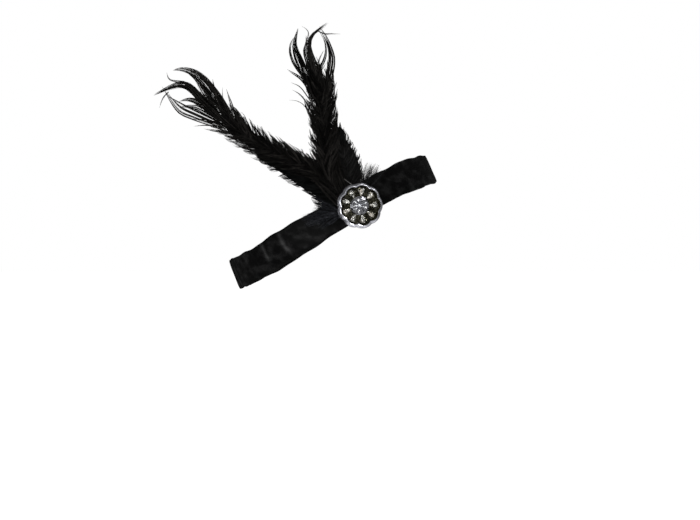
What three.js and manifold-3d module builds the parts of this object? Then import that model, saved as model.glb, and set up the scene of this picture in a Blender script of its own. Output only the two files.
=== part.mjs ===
// A flapper feather headband: a loop of stretch velvet, a lobed rhinestone brooch at the right temple,
// two curled plumes, two broad flat feathers behind them and two tufts of down.
// +X is forward, -Y is the wearer's right side, +Z is up, and the origin is the middle of the loop.

import * as THREE from 'three';
import { LoftGeometry } from 'three/addons/geometries/LoftGeometry.js';
import { mergeVertices } from 'three/addons/utils/BufferGeometryUtils.js';
import Module from 'manifold-3d';

const wasm = await Module();
wasm.setup();

// Band sizes, in millimetres, and its angles, in degrees
const LOOP_LENGTH = 170.5;
const LOOP_BREADTH = 149;
const LOOP_RISE = 92;
const RISE_BEND = 0.2;
const BAND_WIDTH = 27;
const FRONT_BAND_WIDTH = 23.6;
const SIDE_ARCH = 1.4;
const LEFT_LIFT = 3;
const BAND_WALL = 2.2;
const FRONT_LEAN = 24;
const BACK_LEAN = 21;
const SIDE_LEAN = 33;
const SIDE_TUCK = 9;
const LAP_LENGTH = 14;
const LAP_STEP = 1.1;
const LAP_EDGE = 1;
const EDGE_WAVE = 0.7;
const BAND_STATIONS = 144;
const BAND_SIDES = 12;

// Brooch sizes
const BROOCH_AT = 76.5;
const BROOCH_DROP = 3.7;
const BROOCH_RADIUS = 19.1;
const BROOCH_HEIGHT = 6.2;
const BROOCH_CLEARANCE = 0.55;
const RIM_WIDTH = 0.9;
const LOBES = 9;
const LOBE_TURN = 3;
const LOBE_POINTS = 8;
const STEM_RADIUS = 3;
const PETAL_STONE_HEIGHT = 2.6;
const DROP_STONE_HEIGHT = 1.8;
const INNER_STONE_HEIGHT = 2.1;
const CENTRE_STONE_HEIGHT = 2.9;
const CENTRE_STONE_RADIUS = 1.9;
const SEAT_GAP = 0.3;
const WALL_GAP = 0.55;

// Feather sizes
const FRONT_PLUME_REACH = 147;
const REAR_PLUME_REACH = 190;
const FRONT_PAD_REACH = 60;
const REAR_PAD_REACH = 94;
const FRONT_TUFT_REACH = 24;
const REAR_TUFT_REACH = 41;
const PLUME_WIDTH = 23;
const PLUME_THICKNESS = 6;
const PAD_WIDTH = 27;
const PAD_THICKNESS = 1.1;
const LOCK_WIDTH = 4;
const LOCK_THICKNESS = 2.4;
const LAYER_GAP = 0.4;
const LAYER_STEP = PAD_THICKNESS + LAYER_GAP;

const radians = THREE.MathUtils.degToRad;
const mix = THREE.MathUtils.lerp;

// Materials, one for each kind of surface

function finish(color, roughness, metalness) {
  return new THREE.MeshStandardMaterial({ color, roughness, metalness });
}

const velvet = () => finish(0x0e0e10, 0.95, 0);
const silver = () => finish(0xb9bcc0, 0.2, 1);
const smokyStone = () => finish(0x6a6850, 0.1, 0.2);
const clearStone = () => finish(0xdfe4ea, 0.05, 0.1);
const plumeBlack = () => finish(0x0b0b0c, 0.8, 0);
const padBlack = () => finish(0x070908, 0.7, 0);
const downGrey = () => finish(0x34353a, 0.9, 0);

// Solids and meshes

function closed(geometry) {
  const bare = new THREE.BufferGeometry();
  bare.setAttribute('position', geometry.attributes.position);
  bare.setIndex(geometry.index);
  return mergeVertices(bare, 1e-4);
}

function solidOf(geometry) {
  const body = closed(geometry);
  const vertProperties = new Float32Array(body.attributes.position.array);
  const triVerts = new Uint32Array(body.index.array);
  return new wasm.Manifold(new wasm.Mesh({ numProp: 3, vertProperties, triVerts }));
}

function geometryOf(solid) {
  const mesh = solid.getMesh();
  const geometry = new THREE.BufferGeometry();
  geometry.setAttribute('position', new THREE.BufferAttribute(mesh.vertProperties, 3));
  geometry.setIndex(new THREE.BufferAttribute(mesh.triVerts, 1));
  return geometry;
}

function fused(geometries) {
  const solids = geometries.map(solidOf);
  return geometryOf(solids.reduce((whole, next) => whole.add(next)));
}

function named(name, geometry, material) {
  const mesh = new THREE.Mesh(geometry, material);
  mesh.name = name;
  return mesh;
}

// The band's loop. A turn of 0 is the front, and negative turns run along the right side.

function bandFrame(turn) {
  const fore = Math.cos(turn);
  const side = Math.sin(turn);
  const rise = (1 + RISE_BEND) * fore - RISE_BEND * fore ** 3;
  const steepness = (1 + RISE_BEND) - 3 * RISE_BEND * fore ** 2;
  const centre = new THREE.Vector3(LOOP_LENGTH * fore, LOOP_BREADTH * side, LOOP_RISE * rise);
  centre.divideScalar(2);
  centre.z += SIDE_ARCH * side ** 2 + LEFT_LIFT * Math.max(0, side) ** 2;
  const along = new THREE.Vector3(
    (-LOOP_LENGTH / 2) * side,
    (LOOP_BREADTH / 2) * fore,
    (-LOOP_RISE / 2) * steepness * side + 2 * (SIDE_ARCH * side + LEFT_LIFT * Math.max(0, side)) * fore,
  ).normalize();
  const endLean = mix(BACK_LEAN, FRONT_LEAN, (1 + fore) / 2);
  const lean = radians(mix(endLean, SIDE_LEAN, side * side));
  const up = new THREE.Vector3(-Math.sin(lean), -side * Math.sin(radians(SIDE_TUCK)), Math.cos(lean));
  up.addScaledVector(along, -up.dot(along)).normalize();
  const out = new THREE.Vector3().crossVectors(along, up);
  return { centre, up, out };
}

// Creases on the right side. `at` runs from the back, 0, to the front, 1; slant and half are shares
// of the band's width, and depth is a share of its wall.
const CREASES = [
  { at: 0.035, slant: 0.0, half: 0.09, depth: 0.28 },
  { at: 0.065, slant: 0.05, half: 0.09, depth: 0.24 },
  { at: 0.1, slant: 0.08, half: 0.1, depth: 0.22 },
  { at: 0.185, slant: 0.18, half: 0.12, depth: 0.26 },
  { at: 0.275, slant: -0.07, half: 0.11, depth: 0.42 },
  { at: 0.349, slant: 0.11, half: 0.12, depth: 0.42 },
  { at: 0.955, slant: 0.0, half: 0.14, depth: 0.3 },
];

const HALF_LOOP = (Math.PI * (LOOP_LENGTH + LOOP_BREADTH)) / 4;

function creaseDepth(turn, across) {
  const at = 1 - Math.abs(turn) / Math.PI;
  const rightSide = turn < 0 ? 1 : 0;
  return CREASES.reduce((sum, crease) => {
    const away = (at - crease.at) * HALF_LOOP + crease.slant * across * BAND_WIDTH;
    const near = away / (crease.half * BAND_WIDTH);
    return sum + rightSide * crease.depth * BAND_WALL * Math.exp(-near * near);
  }, 0);
}

// Soft waves in the two edges: how many go round the loop, where each starts, and its share of the wave
const UPPER_WAVES = [
  { count: 17, start: 1, share: 0.5 },
  { count: 29, start: 0, share: 0.3 },
];
const LOWER_WAVES = [
  { count: 15, start: 2, share: 0.5 },
  { count: 26, start: 1, share: 0.3 },
];

function edgeWave(turn, across) {
  const waves = across > 0 ? UPPER_WAVES : LOWER_WAVES;
  const heights = waves.map(({ count, start, share }) => share * Math.sin(count * turn + start));
  return EDGE_WAVE * Math.abs(across) * heights.reduce((sum, height) => sum + height);
}

// The band is gathered a little narrower from behind the brooch forward. The ends of that stretch are
// given by how far fore they lie, from -1 at the back of the loop to 1 at its front.
const GATHER = { from: -0.6, to: -0.25 };

function halfWidth(turn) {
  const gathered = THREE.MathUtils.smoothstep(Math.cos(turn), GATHER.from, GATHER.to);
  return mix(BAND_WIDTH, FRONT_BAND_WIDTH, gathered) / 2;
}

// The outer end of the band laps over the inner one at the back
function lapHeight(turn) {
  const fromBack = (1 - Math.abs(turn) / Math.PI) * HALF_LOOP;
  return LAP_STEP * THREE.MathUtils.smoothstep(LAP_LENGTH / 2 - fromBack, -LAP_EDGE, LAP_EDGE);
}

// Powers below 1 fill an ellipse out to a flat band with rounded edges
const SQUARENESS = { across: 0.6, through: 0.3 };

const filledOut = (value, power) => Math.sign(value) * Math.abs(value) ** power;

function bandSection(turn) {
  const { centre, up, out } = bandFrame(turn);
  return Array.from({ length: BAND_SIDES }, (_, i) => {
    const angle = (2 * Math.PI * (i + 0.5)) / BAND_SIDES;
    const across = filledOut(Math.cos(angle), SQUARENESS.across);
    const through = filledOut(Math.sin(angle), SQUARENESS.through);
    const lap = through > 0 ? lapHeight(turn) : 0;
    const depth = (BAND_WALL / 2) * through + lap - creaseDepth(turn, across / 2);
    return centre
      .clone()
      .addScaledVector(up, halfWidth(turn) * across + edgeWave(turn, across))
      .addScaledVector(out, depth);
  });
}

function band() {
  const sections = Array.from({ length: BAND_STATIONS }, (_, i) => {
    const even = (2 * Math.PI * i) / BAND_STATIONS;
    return bandSection(even - Math.PI);
  });
  return named('band', closed(new LoftGeometry([...sections, sections[0]])), velvet());
}

// The brooch stands on the band at the right temple. Its own axes: x to the front, y up, z out.

function broochPlace() {
  const { centre, up, out } = bandFrame(-radians(BROOCH_AT));
  const level = new THREE.Vector3(out.x, out.y, 0).normalize();
  const origin = centre.clone().addScaledVector(out, BAND_WALL / 2).addScaledVector(up, -BROOCH_DROP);
  const top = new THREE.Vector3(0, 0, 1);
  const fore = new THREE.Vector3().crossVectors(top, level);
  return { origin, fore, top, level };
}

// Radius of one lobe's arc, with the furthest point of the outline 1 from the middle
const LOBE_SHARE = 0.4;

// Distance from the middle to the scalloped outline. A depth of 0 gives a circle, and 1 the full arcs.
function scallop(angle, depth) {
  const step = (2 * Math.PI) / LOBES;
  const off = ((((angle - radians(LOBE_TURN)) % step) + 1.5 * step) % step) - step / 2;
  const reach = 1 - LOBE_SHARE;
  const arc = reach * Math.cos(off) + Math.sqrt(LOBE_SHARE ** 2 - (reach * Math.sin(off)) ** 2);
  return mix(1, arc, depth);
}

// Shares of the brooch's radius and height: the raised boss in the middle, and the cup round it
const BOSS_TOP = 0.34;
const BOSS_FOOT = 0.39;
const BOSS_HEIGHT = 0.6;
const BOSS_DOME = 0.02;
const BOSS_CENTRE = 0.1;
const CUP_FOOT = 0.9;
const CUP_MOUTH = 0.93;
const FLOOR_HEIGHT = 0.34;

// Rings of the cup from the middle of its floor, over the rim, down its side and in to the stem.
// radius is a share of the brooch's radius, height of its height, and lobes says how scalloped it is.
function settingRings() {
  const rim = RIM_WIDTH / BROOCH_RADIUS;
  const stem = STEM_RADIUS / BROOCH_RADIUS;
  const stemEnd = (standoff() - stemClearance()) / BROOCH_HEIGHT;
  return [
    { radius: BOSS_CENTRE, height: BOSS_HEIGHT + BOSS_DOME, lobes: 0 },
    { radius: BOSS_TOP, height: BOSS_HEIGHT, lobes: 0.2 },
    { radius: BOSS_FOOT, height: FLOOR_HEIGHT, lobes: 0.4 },
    { radius: CUP_FOOT - rim, height: FLOOR_HEIGHT, lobes: 1 },
    { radius: CUP_MOUTH - rim, height: 0.98, lobes: 1 },
    { radius: CUP_MOUTH - rim / 2, height: 1, lobes: 0.95 },
    { radius: CUP_MOUTH, height: 0.96, lobes: 0.9 },
    { radius: 0.97, height: 0.5, lobes: 0.75 },
    { radius: 1, height: 0.14, lobes: 0.6 },
    { radius: 0.99, height: 0, lobes: 0.6 },
    { radius: stem, height: 0, lobes: 0 },
    { radius: stem, height: -stemEnd, lobes: 0 },
  ];
}

// The setting's back clears the roots of the top feathers, which pass behind it
function standoff() {
  const rootThickness = Math.max(PLUME_THICKNESS * PLUME_ROOT, LOCK_THICKNESS * TUFT_ROOT);
  const layers = Object.values(ROOTS).map(({ layer }) => layer);
  return Math.max(...layers) * LAYER_STEP + rootThickness / 2 + BROOCH_CLEARANCE;
}

// The stem stops just short of the band, whose face leans out below the brooch
function stemClearance() {
  return 1.5 * SEAT_GAP + STEM_RADIUS * Math.tan(radians(SIDE_TUCK));
}

function settingGeometry() {
  const around = LOBES * LOBE_POINTS;
  const sections = settingRings().map(({ radius, height, lobes }) =>
    Array.from({ length: around }, (_, i) => {
      const angle = (2 * Math.PI * i) / around + radians(LOBE_TURN);
      const far = radius * BROOCH_RADIUS * scallop(angle, lobes);
      return new THREE.Vector3(far * Math.cos(angle), far * Math.sin(angle), height * BROOCH_HEIGHT);
    }).reverse(),
  );
  return closed(new LoftGeometry(sections, { capStart: true, capEnd: true }));
}

// The cut of every stone, from its back up to its table: each ring's share of the outline, its share of
// the height, and how far its corners turn towards the next corner of the outline
const CUT = [
  { share: 0.55, rise: 0, turn: 0 },
  { share: 1, rise: 0.5, turn: 0 },
  { share: 0.82, rise: 0.8, turn: 0.5 },
  { share: 0.55, rise: 1, turn: 0 },
];

// outline gives points round the stone, half its length and half its width being 1
function cutStone(outline, halfLength, halfWidth, floor, height) {
  const count = outline.length;
  const sections = CUT.map(({ share, rise, turn }) =>
    outline.map(([along, across], i) => {
      const [nextAlong, nextAcross] = outline[(i + 1) % count];
      const x = mix(along, nextAlong, turn) * share * halfLength;
      const y = mix(across, nextAcross, turn) * share * halfWidth;
      return new THREE.Vector3(x, y, floor + rise * height);
    }),
  );
  return closed(new LoftGeometry(sections, { capStart: true, capEnd: true }));
}

// Outlines of the stones. A taper of 0 is round, and 1 a full pear with its round end away from the
// middle of the brooch.
const PETAL_CUT = { corners: 12, taper: 0.7 };
const DROP_CUT = { corners: 8, taper: 0.4 };
const INNER_CUT = { corners: 8, taper: 0.3 };
const CENTRE_CUT = { corners: 10, taper: 0 };
const PEAR_BULGE = 1.4;

function pearOutline({ corners, taper }) {
  return Array.from({ length: corners }, (_, i) => {
    const angle = (2 * Math.PI * i) / corners;
    return [Math.cos(angle), Math.sin(angle) * mix(1, (1 + Math.cos(angle)) / PEAR_BULGE, taper)];
  });
}

const petalFloor = () => FLOOR_HEIGHT * BROOCH_HEIGHT + SEAT_GAP;

// Where the smoky stone of a lobe lies, along the lobe from the boss to the wall
function petalPlace() {
  const inner = BOSS_FOOT * BROOCH_RADIUS + WALL_GAP;
  const outer = CUP_FOOT * BROOCH_RADIUS - RIM_WIDTH - WALL_GAP;
  const middle = (outer + inner) / 2;
  const halfWidth = middle * Math.sin(Math.PI / LOBES) - SEAT_GAP / 2;
  return { middle, halfLength: (outer - inner) / 2, halfWidth };
}

function petalStone(angle) {
  const { middle, halfLength, halfWidth } = petalPlace();
  const stone = cutStone(pearOutline(PETAL_CUT), halfLength, halfWidth, petalFloor(), PETAL_STONE_HEIGHT);
  return stone.translate(middle, 0, 0).rotateZ(angle);
}

// A clear stone stands on each smoky one: how long and wide it is, and how far it lies towards the
// boss, in shares of the smoky stone
const DROP = { length: 0.86, width: 0.5, inward: 0.12 };

function dropStone(angle) {
  const { middle, halfLength, halfWidth } = petalPlace();
  const floor = petalFloor() + PETAL_STONE_HEIGHT + SEAT_GAP;
  const outline = pearOutline(DROP_CUT);
  const stone = cutStone(outline, DROP.length * halfLength, DROP.width * halfWidth, floor, DROP_STONE_HEIGHT);
  return stone.translate(middle - DROP.inward * halfLength, 0, 0).rotateZ(angle);
}

const bossFloor = () => (BOSS_HEIGHT + BOSS_DOME) * BROOCH_HEIGHT + SEAT_GAP;

// The inner stones widen away from the centre stone, so they are wider than their place at its edge
const INNER_STONE_SPREAD = 1.3;

function innerStone(angle) {
  const inner = CENTRE_STONE_RADIUS + SEAT_GAP;
  const outer = BOSS_TOP * BROOCH_RADIUS;
  const middle = (outer + inner) / 2;
  const halfLength = (outer - inner) / 2;
  const halfWidth = inner * Math.tan(Math.PI / LOBES) * INNER_STONE_SPREAD;
  const stone = cutStone(pearOutline(INNER_CUT), halfLength, halfWidth, bossFloor(), INNER_STONE_HEIGHT);
  return stone.translate(middle, 0, 0).rotateZ(angle);
}

function centreStone() {
  const radius = CENTRE_STONE_RADIUS;
  return cutStone(pearOutline(CENTRE_CUT), radius, radius, bossFloor(), CENTRE_STONE_HEIGHT);
}

function brooch() {
  const group = new THREE.Group();
  group.position.z = standoff();
  group.add(named('brooch_setting', settingGeometry(), silver()));
  for (let i = 0; i < LOBES; i += 1) {
    const angle = (2 * Math.PI * i) / LOBES + radians(LOBE_TURN);
    group.add(named(`petal_stone_${i + 1}`, petalStone(angle), smokyStone()));
    group.add(named(`drop_stone_${i + 1}`, dropStone(angle), clearStone()));
    const between = angle + Math.PI / LOBES;
    group.add(named(`inner_stone_${i + 1}`, innerStone(between), clearStone()));
  }
  group.add(named('centre_stone', centreStone(), clearStone()));
  return group;
}

// Feathers, in the brooch's axes, with z from the band's face. Each row of a lock says where its
// middle runs: fore and up are shares of the feather's reach from its root, out is a share of it
// away from the head, and wide and thick are shares of the width and thickness of the lock.

function placer(root, reach) {
  return ({ fore, up, out }) =>
    new THREE.Vector3(
      root.fore * BROOCH_RADIUS + fore * reach,
      root.up * BROOCH_RADIUS + up * reach,
      root.layer * LAYER_STEP + out * reach,
    );
}

// How fine a lock's mesh is: sides round it, and steps from each row to the next
const BROAD_MESH = { sides: 10, stepsPerRow: 2 };
const LOCK_MESH = { sides: 6, stepsPerRow: 2 };
const EDGE_MESH = { sides: 5, stepsPerRow: 1 };

function lockGeometry(rows, place, width, thickness, { sides, stepsPerRow }) {
  const curve = new THREE.CatmullRomCurve3(rows.map(place), false, 'centripetal');
  const steps = (rows.length - 1) * stepsPerRow;
  const sections = Array.from({ length: steps + 1 }, (_, i) => {
    const at = i / steps;
    const low = Math.min(Math.floor(at * (rows.length - 1)), rows.length - 2);
    const part = at * (rows.length - 1) - low;
    const wide = (width / 2) * mix(rows[low].wide, rows[low + 1].wide, part);
    const thick = (thickness / 2) * mix(rows[low].thick, rows[low + 1].thick, part);
    const middle = curve.getPoint(at);
    const along = curve.getTangent(at);
    const away = new THREE.Vector3(0, 0, 1);
    away.addScaledVector(along, -away.dot(along)).normalize();
    const across = new THREE.Vector3().crossVectors(along, away);
    return Array.from({ length: sides }, (_, j) => {
      const angle = (2 * Math.PI * j) / sides;
      return middle
        .clone()
        .addScaledVector(across, wide * Math.cos(angle))
        .addScaledVector(away, -thick * Math.sin(angle));
    });
  });
  return new LoftGeometry(sections, { capStart: true, capEnd: true });
}

const row = (fore, up, out, wide, thick) => ({ fore, up, out, wide, thick });

// How thick a quill is where it passes behind the brooch, as a share of its feather's or lock's thickness
const PLUME_ROOT = 0.2;
const TUFT_ROOT = 0.5;

const FRONT_PLUME_BODY = [
  row(0, 0, 0, 0.06, PLUME_ROOT),
  row(-0.051, 0.04, 0, 0.09, PLUME_ROOT),
  row(-0.093, 0.079, 0.014, 0.3, 0.26),
  row(-0.128, 0.136, 0.028, 0.62, 0.44),
  row(-0.146, 0.323, 0.034, 0.86, 1),
  row(-0.154, 0.487, 0.036, 0.86, 1),
  row(-0.166, 0.648, 0.038, 0.76, 0.9),
  row(-0.194, 0.731, 0.036, 0.5, 0.7),
  row(-0.222, 0.824, 0.04, 0.26, 0.5),
  row(-0.23, 0.882, 0.046, 0.2, 0.42),
  row(-0.208, 0.932, 0.05, 0.16, 0.36),
  row(-0.172, 0.964, 0.056, 0.12, 0.3),
  row(-0.129, 0.997, 0.06, 0.04, 0.12),
];

const REAR_PLUME_BODY = [
  row(0, 0, 0, 0.06, PLUME_ROOT),
  row(-0.035, 0.031, 0, 0.1, PLUME_ROOT),
  row(-0.088, 0.092, 0, 0.3, PLUME_ROOT),
  row(-0.143, 0.165, 0.001, 0.56, 0.28),
  row(-0.242, 0.222, 0.012, 0.72, 0.8),
  row(-0.349, 0.268, 0.016, 0.8, 1),
  row(-0.492, 0.358, 0.01, 0.84, 1),
  row(-0.582, 0.438, -0.002, 0.78, 0.9),
  row(-0.663, 0.51, -0.02, 0.44, 0.7),
  row(-0.729, 0.55, -0.036, 0.22, 0.5),
  row(-0.766, 0.55, -0.046, 0.17, 0.4),
  row(-0.813, 0.53, -0.056, 0.12, 0.3),
  row(-0.857, 0.511, -0.062, 0.04, 0.12),
];

// The curled locks at the head of each plume, with the width of a lock as 1
const FRONT_PLUME_LOCKS = [
  [
    row(-0.186, 0.66, 0.036, 0.9, 0.9),
    row(-0.289, 0.773, 0.05, 1.1, 1),
    row(-0.331, 0.833, 0.056, 0.9, 0.9),
    row(-0.338, 0.872, 0.058, 0.75, 0.8),
    row(-0.323, 0.918, 0.06, 0.55, 0.6),
    row(-0.295, 0.975, 0.058, 0.15, 0.25),
  ],
  [
    row(-0.225, 0.77, 0.04, 0.9, 0.9),
    row(-0.257, 0.861, 0.03, 0.8, 0.8),
    row(-0.246, 0.925, 0.026, 0.6, 0.6),
    row(-0.268, 0.985, 0.024, 0.15, 0.25),
  ],
  [
    row(-0.178, 0.67, 0.036, 0.9, 0.9),
    row(-0.116, 0.745, 0.03, 1, 1),
    row(-0.092, 0.802, 0.026, 0.8, 0.9),
    row(-0.108, 0.862, 0.026, 0.6, 0.7),
    row(-0.132, 0.915, 0.028, 0.15, 0.25),
  ],
  [
    row(-0.19, 0.7, 0.036, 0.9, 0.8),
    row(-0.168, 0.79, 0.048, 0.7, 0.7),
    row(-0.148, 0.856, 0.054, 0.15, 0.25),
  ],
  [
    row(-0.22, 0.62, 0.036, 0.9, 0.9),
    row(-0.28, 0.668, 0.03, 0.8, 0.8),
    row(-0.352, 0.737, 0.02, 0.15, 0.25),
  ],
  [
    row(-0.18, 0.957, 0.052, 0.6, 0.6),
    row(-0.114, 0.944, 0.044, 0.5, 0.5),
    row(-0.057, 0.942, 0.038, 0.15, 0.25),
  ],
];

const REAR_PLUME_LOCKS = [
  [
    row(-0.635, 0.485, -0.012, 1, 1),
    row(-0.684, 0.541, -0.034, 1, 0.9),
    row(-0.71, 0.594, -0.05, 0.8, 0.8),
    row(-0.745, 0.62, -0.06, 0.6, 0.6),
    row(-0.784, 0.618, -0.066, 0.15, 0.25),
  ],
  [
    row(-0.731, 0.55, -0.036, 0.6, 0.6),
    row(-0.778, 0.563, -0.036, 0.5, 0.5),
    row(-0.793, 0.578, -0.036, 0.35, 0.4),
    row(-0.799, 0.603, -0.036, 0.12, 0.2),
  ],
  [
    row(-0.621, 0.46, -0.01, 0.8, 0.8),
    row(-0.694, 0.425, -0.016, 0.8, 0.8),
    row(-0.747, 0.44, -0.03, 0.6, 0.6),
    row(-0.791, 0.48, -0.044, 0.12, 0.2),
  ],
];

// Short pointed locks along both edges of a plume. They leave the body and lean towards its tip.
// start and reach are shares of the plume's width there, length and uneven of its full width, and tip
// of the lock's own width.
const EDGE_LOCK = { start: 0.2, reach: 0.68, length: 0.72, uneven: 0.16, unevenTurn: 5, tip: 0.15 };

function edgeLocks(body, place, { count, fromRow, toRow }) {
  const curve = new THREE.CatmullRomCurve3(body.map(place), false, 'centripetal');
  const last = body.length - 1;
  return Array.from({ length: count * 2 }, (_, i) => {
    const side = i % 2 === 0 ? 1 : -1;
    const at = mix(fromRow, toRow, i / (count * 2 - 1)) / last;
    const low = Math.min(Math.floor(at * last), last - 1);
    const wide = mix(body[low].wide, body[low + 1].wide, at * last - low) * PLUME_WIDTH;
    const start = curve.getPoint(at);
    const along = curve.getTangent(at);
    const across = new THREE.Vector3(-along.y, along.x, 0).multiplyScalar(side);
    const uneven = EDGE_LOCK.uneven * Math.sin(EDGE_LOCK.unevenTurn * i);
    const length = PLUME_WIDTH * (EDGE_LOCK.length + uneven);
    const rows = [0, 0.5, 1].map((share) => ({
      point: start
        .clone()
        .addScaledVector(across, wide * mix(EDGE_LOCK.start, EDGE_LOCK.reach, share))
        .addScaledVector(along, length * share),
      wide: mix(1, EDGE_LOCK.tip, share),
      thick: mix(1, EDGE_LOCK.tip, share),
    }));
    return lockGeometry(rows, ({ point }) => point, LOCK_WIDTH, LOCK_THICKNESS, EDGE_MESH);
  });
}

function plume(name, body, locks, place, edges) {
  const vane = lockGeometry(body, place, PLUME_WIDTH, PLUME_THICKNESS, BROAD_MESH);
  const curls = locks.map((rows) => lockGeometry(rows, place, LOCK_WIDTH, LOCK_THICKNESS, LOCK_MESH));
  return named(name, fused([vane, ...curls, ...edgeLocks(body, place, edges)]), plumeBlack());
}

const FRONT_PAD = [
  row(0, 0, 0, 0.06, 1),
  row(-0.02, 0.1, 0, 0.45, 1),
  row(-0.07, 0.3, 0, 0.98, 1),
  row(-0.13, 0.53, 0, 0.94, 1),
  row(-0.18, 0.75, 0, 0.72, 1),
  row(-0.2, 0.92, 0, 0.4, 1),
  row(-0.21, 1, 0, 0.08, 0.6),
];

const REAR_PAD = [
  row(0, 0, 0, 0.06, 1),
  row(-0.08, 0.05, 0, 0.5, 1),
  row(-0.22, 0.15, 0, 0.96, 1),
  row(-0.43, 0.285, 0, 0.98, 1),
  row(-0.62, 0.38, 0, 0.86, 1),
  row(-0.78, 0.45, 0, 0.56, 1),
  row(-0.86, 0.48, 0, 0.14, 0.6),
];

function padFeather(name, rows, place) {
  return named(name, closed(lockGeometry(rows, place, PAD_WIDTH, PAD_THICKNESS, BROAD_MESH)), padBlack());
}

// A tuft of down: wisps that fan out from one root to their tips, each bent to one side on its way
function tuft(name, tips, place) {
  const wisps = tips.map(({ fore, up, out, bend }) => {
    const rows = [
      row(0, 0, 0, 0.5, TUFT_ROOT),
      row(fore / 2 - up * bend, up / 2 + fore * bend, out / 2, 1, 0.8),
      row(fore, up, out, 0.12, 0.2),
    ];
    return lockGeometry(rows, place, LOCK_WIDTH, LOCK_THICKNESS, LOCK_MESH);
  });
  return named(name, fused(wisps), downGrey());
}

const FRONT_TUFT_TIPS = [
  { fore: -0.1, up: 0.6, out: 0, bend: 0.06 },
  { fore: 0.12, up: 1, out: 0.04, bend: 0.08 },
  { fore: 0.36, up: 0.94, out: 0.02, bend: 0.06 },
  { fore: 0.56, up: 0.72, out: 0.06, bend: 0.05 },
];

const REAR_TUFT_TIPS = [
  { fore: -0.7, up: 0.4, out: 0, bend: 0.06 },
  { fore: -0.97, up: 0.16, out: 0.02, bend: 0.05 },
  { fore: -0.9, up: -0.06, out: 0.04, bend: -0.04 },
  { fore: -0.68, up: -0.2, out: 0.05, bend: -0.06 },
  { fore: -0.4, up: -0.26, out: 0.04, bend: -0.08 },
];

// Where each feather starts behind the brooch, in shares of the brooch's radius, and its layer, counted
// from the band outwards
const ROOTS = {
  frontPlume: { fore: -0.42, up: 0.26, layer: 2.7 },
  rearPlume: { fore: -0.42, up: -0.26, layer: 2.7 },
  frontPad: { fore: -0.24, up: 0.3, layer: 1.7 },
  rearPad: { fore: -0.36, up: 0.12, layer: 0.7 },
  frontTuft: { fore: 0.34, up: 0.66, layer: 2.5 },
  rearTuft: { fore: -0.72, up: -0.36, layer: 2.7 },
};

// The stretch of each plume that has edge locks, from one row of its body to another
const FRONT_EDGES = { count: 7, fromRow: 3.6, toRow: 7 };
const REAR_EDGES = { count: 8, fromRow: 4, toRow: 8 };

function feathers() {
  const frontPlume = placer(ROOTS.frontPlume, FRONT_PLUME_REACH);
  const rearPlume = placer(ROOTS.rearPlume, REAR_PLUME_REACH);
  return [
    plume('plume_front', FRONT_PLUME_BODY, FRONT_PLUME_LOCKS, frontPlume, FRONT_EDGES),
    plume('plume_rear', REAR_PLUME_BODY, REAR_PLUME_LOCKS, rearPlume, REAR_EDGES),
    padFeather('pad_feather_front', FRONT_PAD, placer(ROOTS.frontPad, FRONT_PAD_REACH)),
    padFeather('pad_feather_rear', REAR_PAD, placer(ROOTS.rearPad, REAR_PAD_REACH)),
    tuft('down_tuft_front', FRONT_TUFT_TIPS, placer(ROOTS.frontTuft, FRONT_TUFT_REACH)),
    tuft('down_tuft_rear', REAR_TUFT_TIPS, placer(ROOTS.rearTuft, REAR_TUFT_REACH)),
  ];
}

// What stands on the band at the temple, turned to face out from it
function ornament() {
  const group = new THREE.Group();
  const { origin, fore, top, level } = broochPlace();
  group.quaternion.setFromRotationMatrix(new THREE.Matrix4().makeBasis(fore, top, level));
  group.position.copy(origin);
  group.add(brooch(), ...feathers());
  return group;
}

const headband = new THREE.Group();
headband.add(band(), ornament());

export default headband;
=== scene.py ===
# %% [markdown]
# # A headband with curled plumes, a cut-stone brooch and a velvet band
#
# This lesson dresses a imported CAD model. The model holds the true sizes: a band that is worn round
# the forehead, a nine-lobed brooch at the temple, two plumes, two flat feathers and two tufts of
# down. Here each gets what the eye looks for: single barbs, velvet pile and bright cut stones.
#
# The model is loaded first, because every later piece is placed by it.

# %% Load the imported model
import math
from collections import namedtuple

import bpy
import numpy as np
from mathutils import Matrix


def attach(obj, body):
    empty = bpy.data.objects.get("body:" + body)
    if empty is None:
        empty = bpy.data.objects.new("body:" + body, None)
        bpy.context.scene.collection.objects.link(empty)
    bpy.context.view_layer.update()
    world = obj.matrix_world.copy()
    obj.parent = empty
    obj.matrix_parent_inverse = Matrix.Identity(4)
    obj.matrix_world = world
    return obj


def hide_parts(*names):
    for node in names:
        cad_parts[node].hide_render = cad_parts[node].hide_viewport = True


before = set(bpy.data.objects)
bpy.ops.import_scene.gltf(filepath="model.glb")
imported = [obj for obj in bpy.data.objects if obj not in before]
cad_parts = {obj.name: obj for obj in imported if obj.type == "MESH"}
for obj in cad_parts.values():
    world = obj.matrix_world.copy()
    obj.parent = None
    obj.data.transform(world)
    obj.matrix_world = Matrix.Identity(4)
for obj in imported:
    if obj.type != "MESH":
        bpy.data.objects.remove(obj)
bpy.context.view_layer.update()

MM = 0.001

# %% [markdown]
# ## The camera
#
# The camera comes early, because it decides what is worth making. It looks level along +Y at the
# right side of the band from a metre and a half away. A longer lens than usual keeps the loop from
# spreading towards the front.

# %% Camera
CAMERA_PLACE = (14.6 * MM, -1500 * MM, -33.9 * MM)
VIEW_WIDTH = 616 * MM
SENSOR_WIDTH = 36


def make_camera():
    data = bpy.data.cameras.new("camera")
    data.sensor_width = SENSOR_WIDTH
    data.lens = SENSOR_WIDTH * -CAMERA_PLACE[1] / VIEW_WIDTH
    camera = bpy.data.objects.new("camera", data)
    camera.location = CAMERA_PLACE
    camera.rotation_euler = (math.radians(90), 0, 0)
    bpy.context.scene.collection.objects.link(camera)
    bpy.context.scene.camera = camera
    return camera


print("lens in millimetres:", round(make_camera().data.lens, 1))

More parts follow.
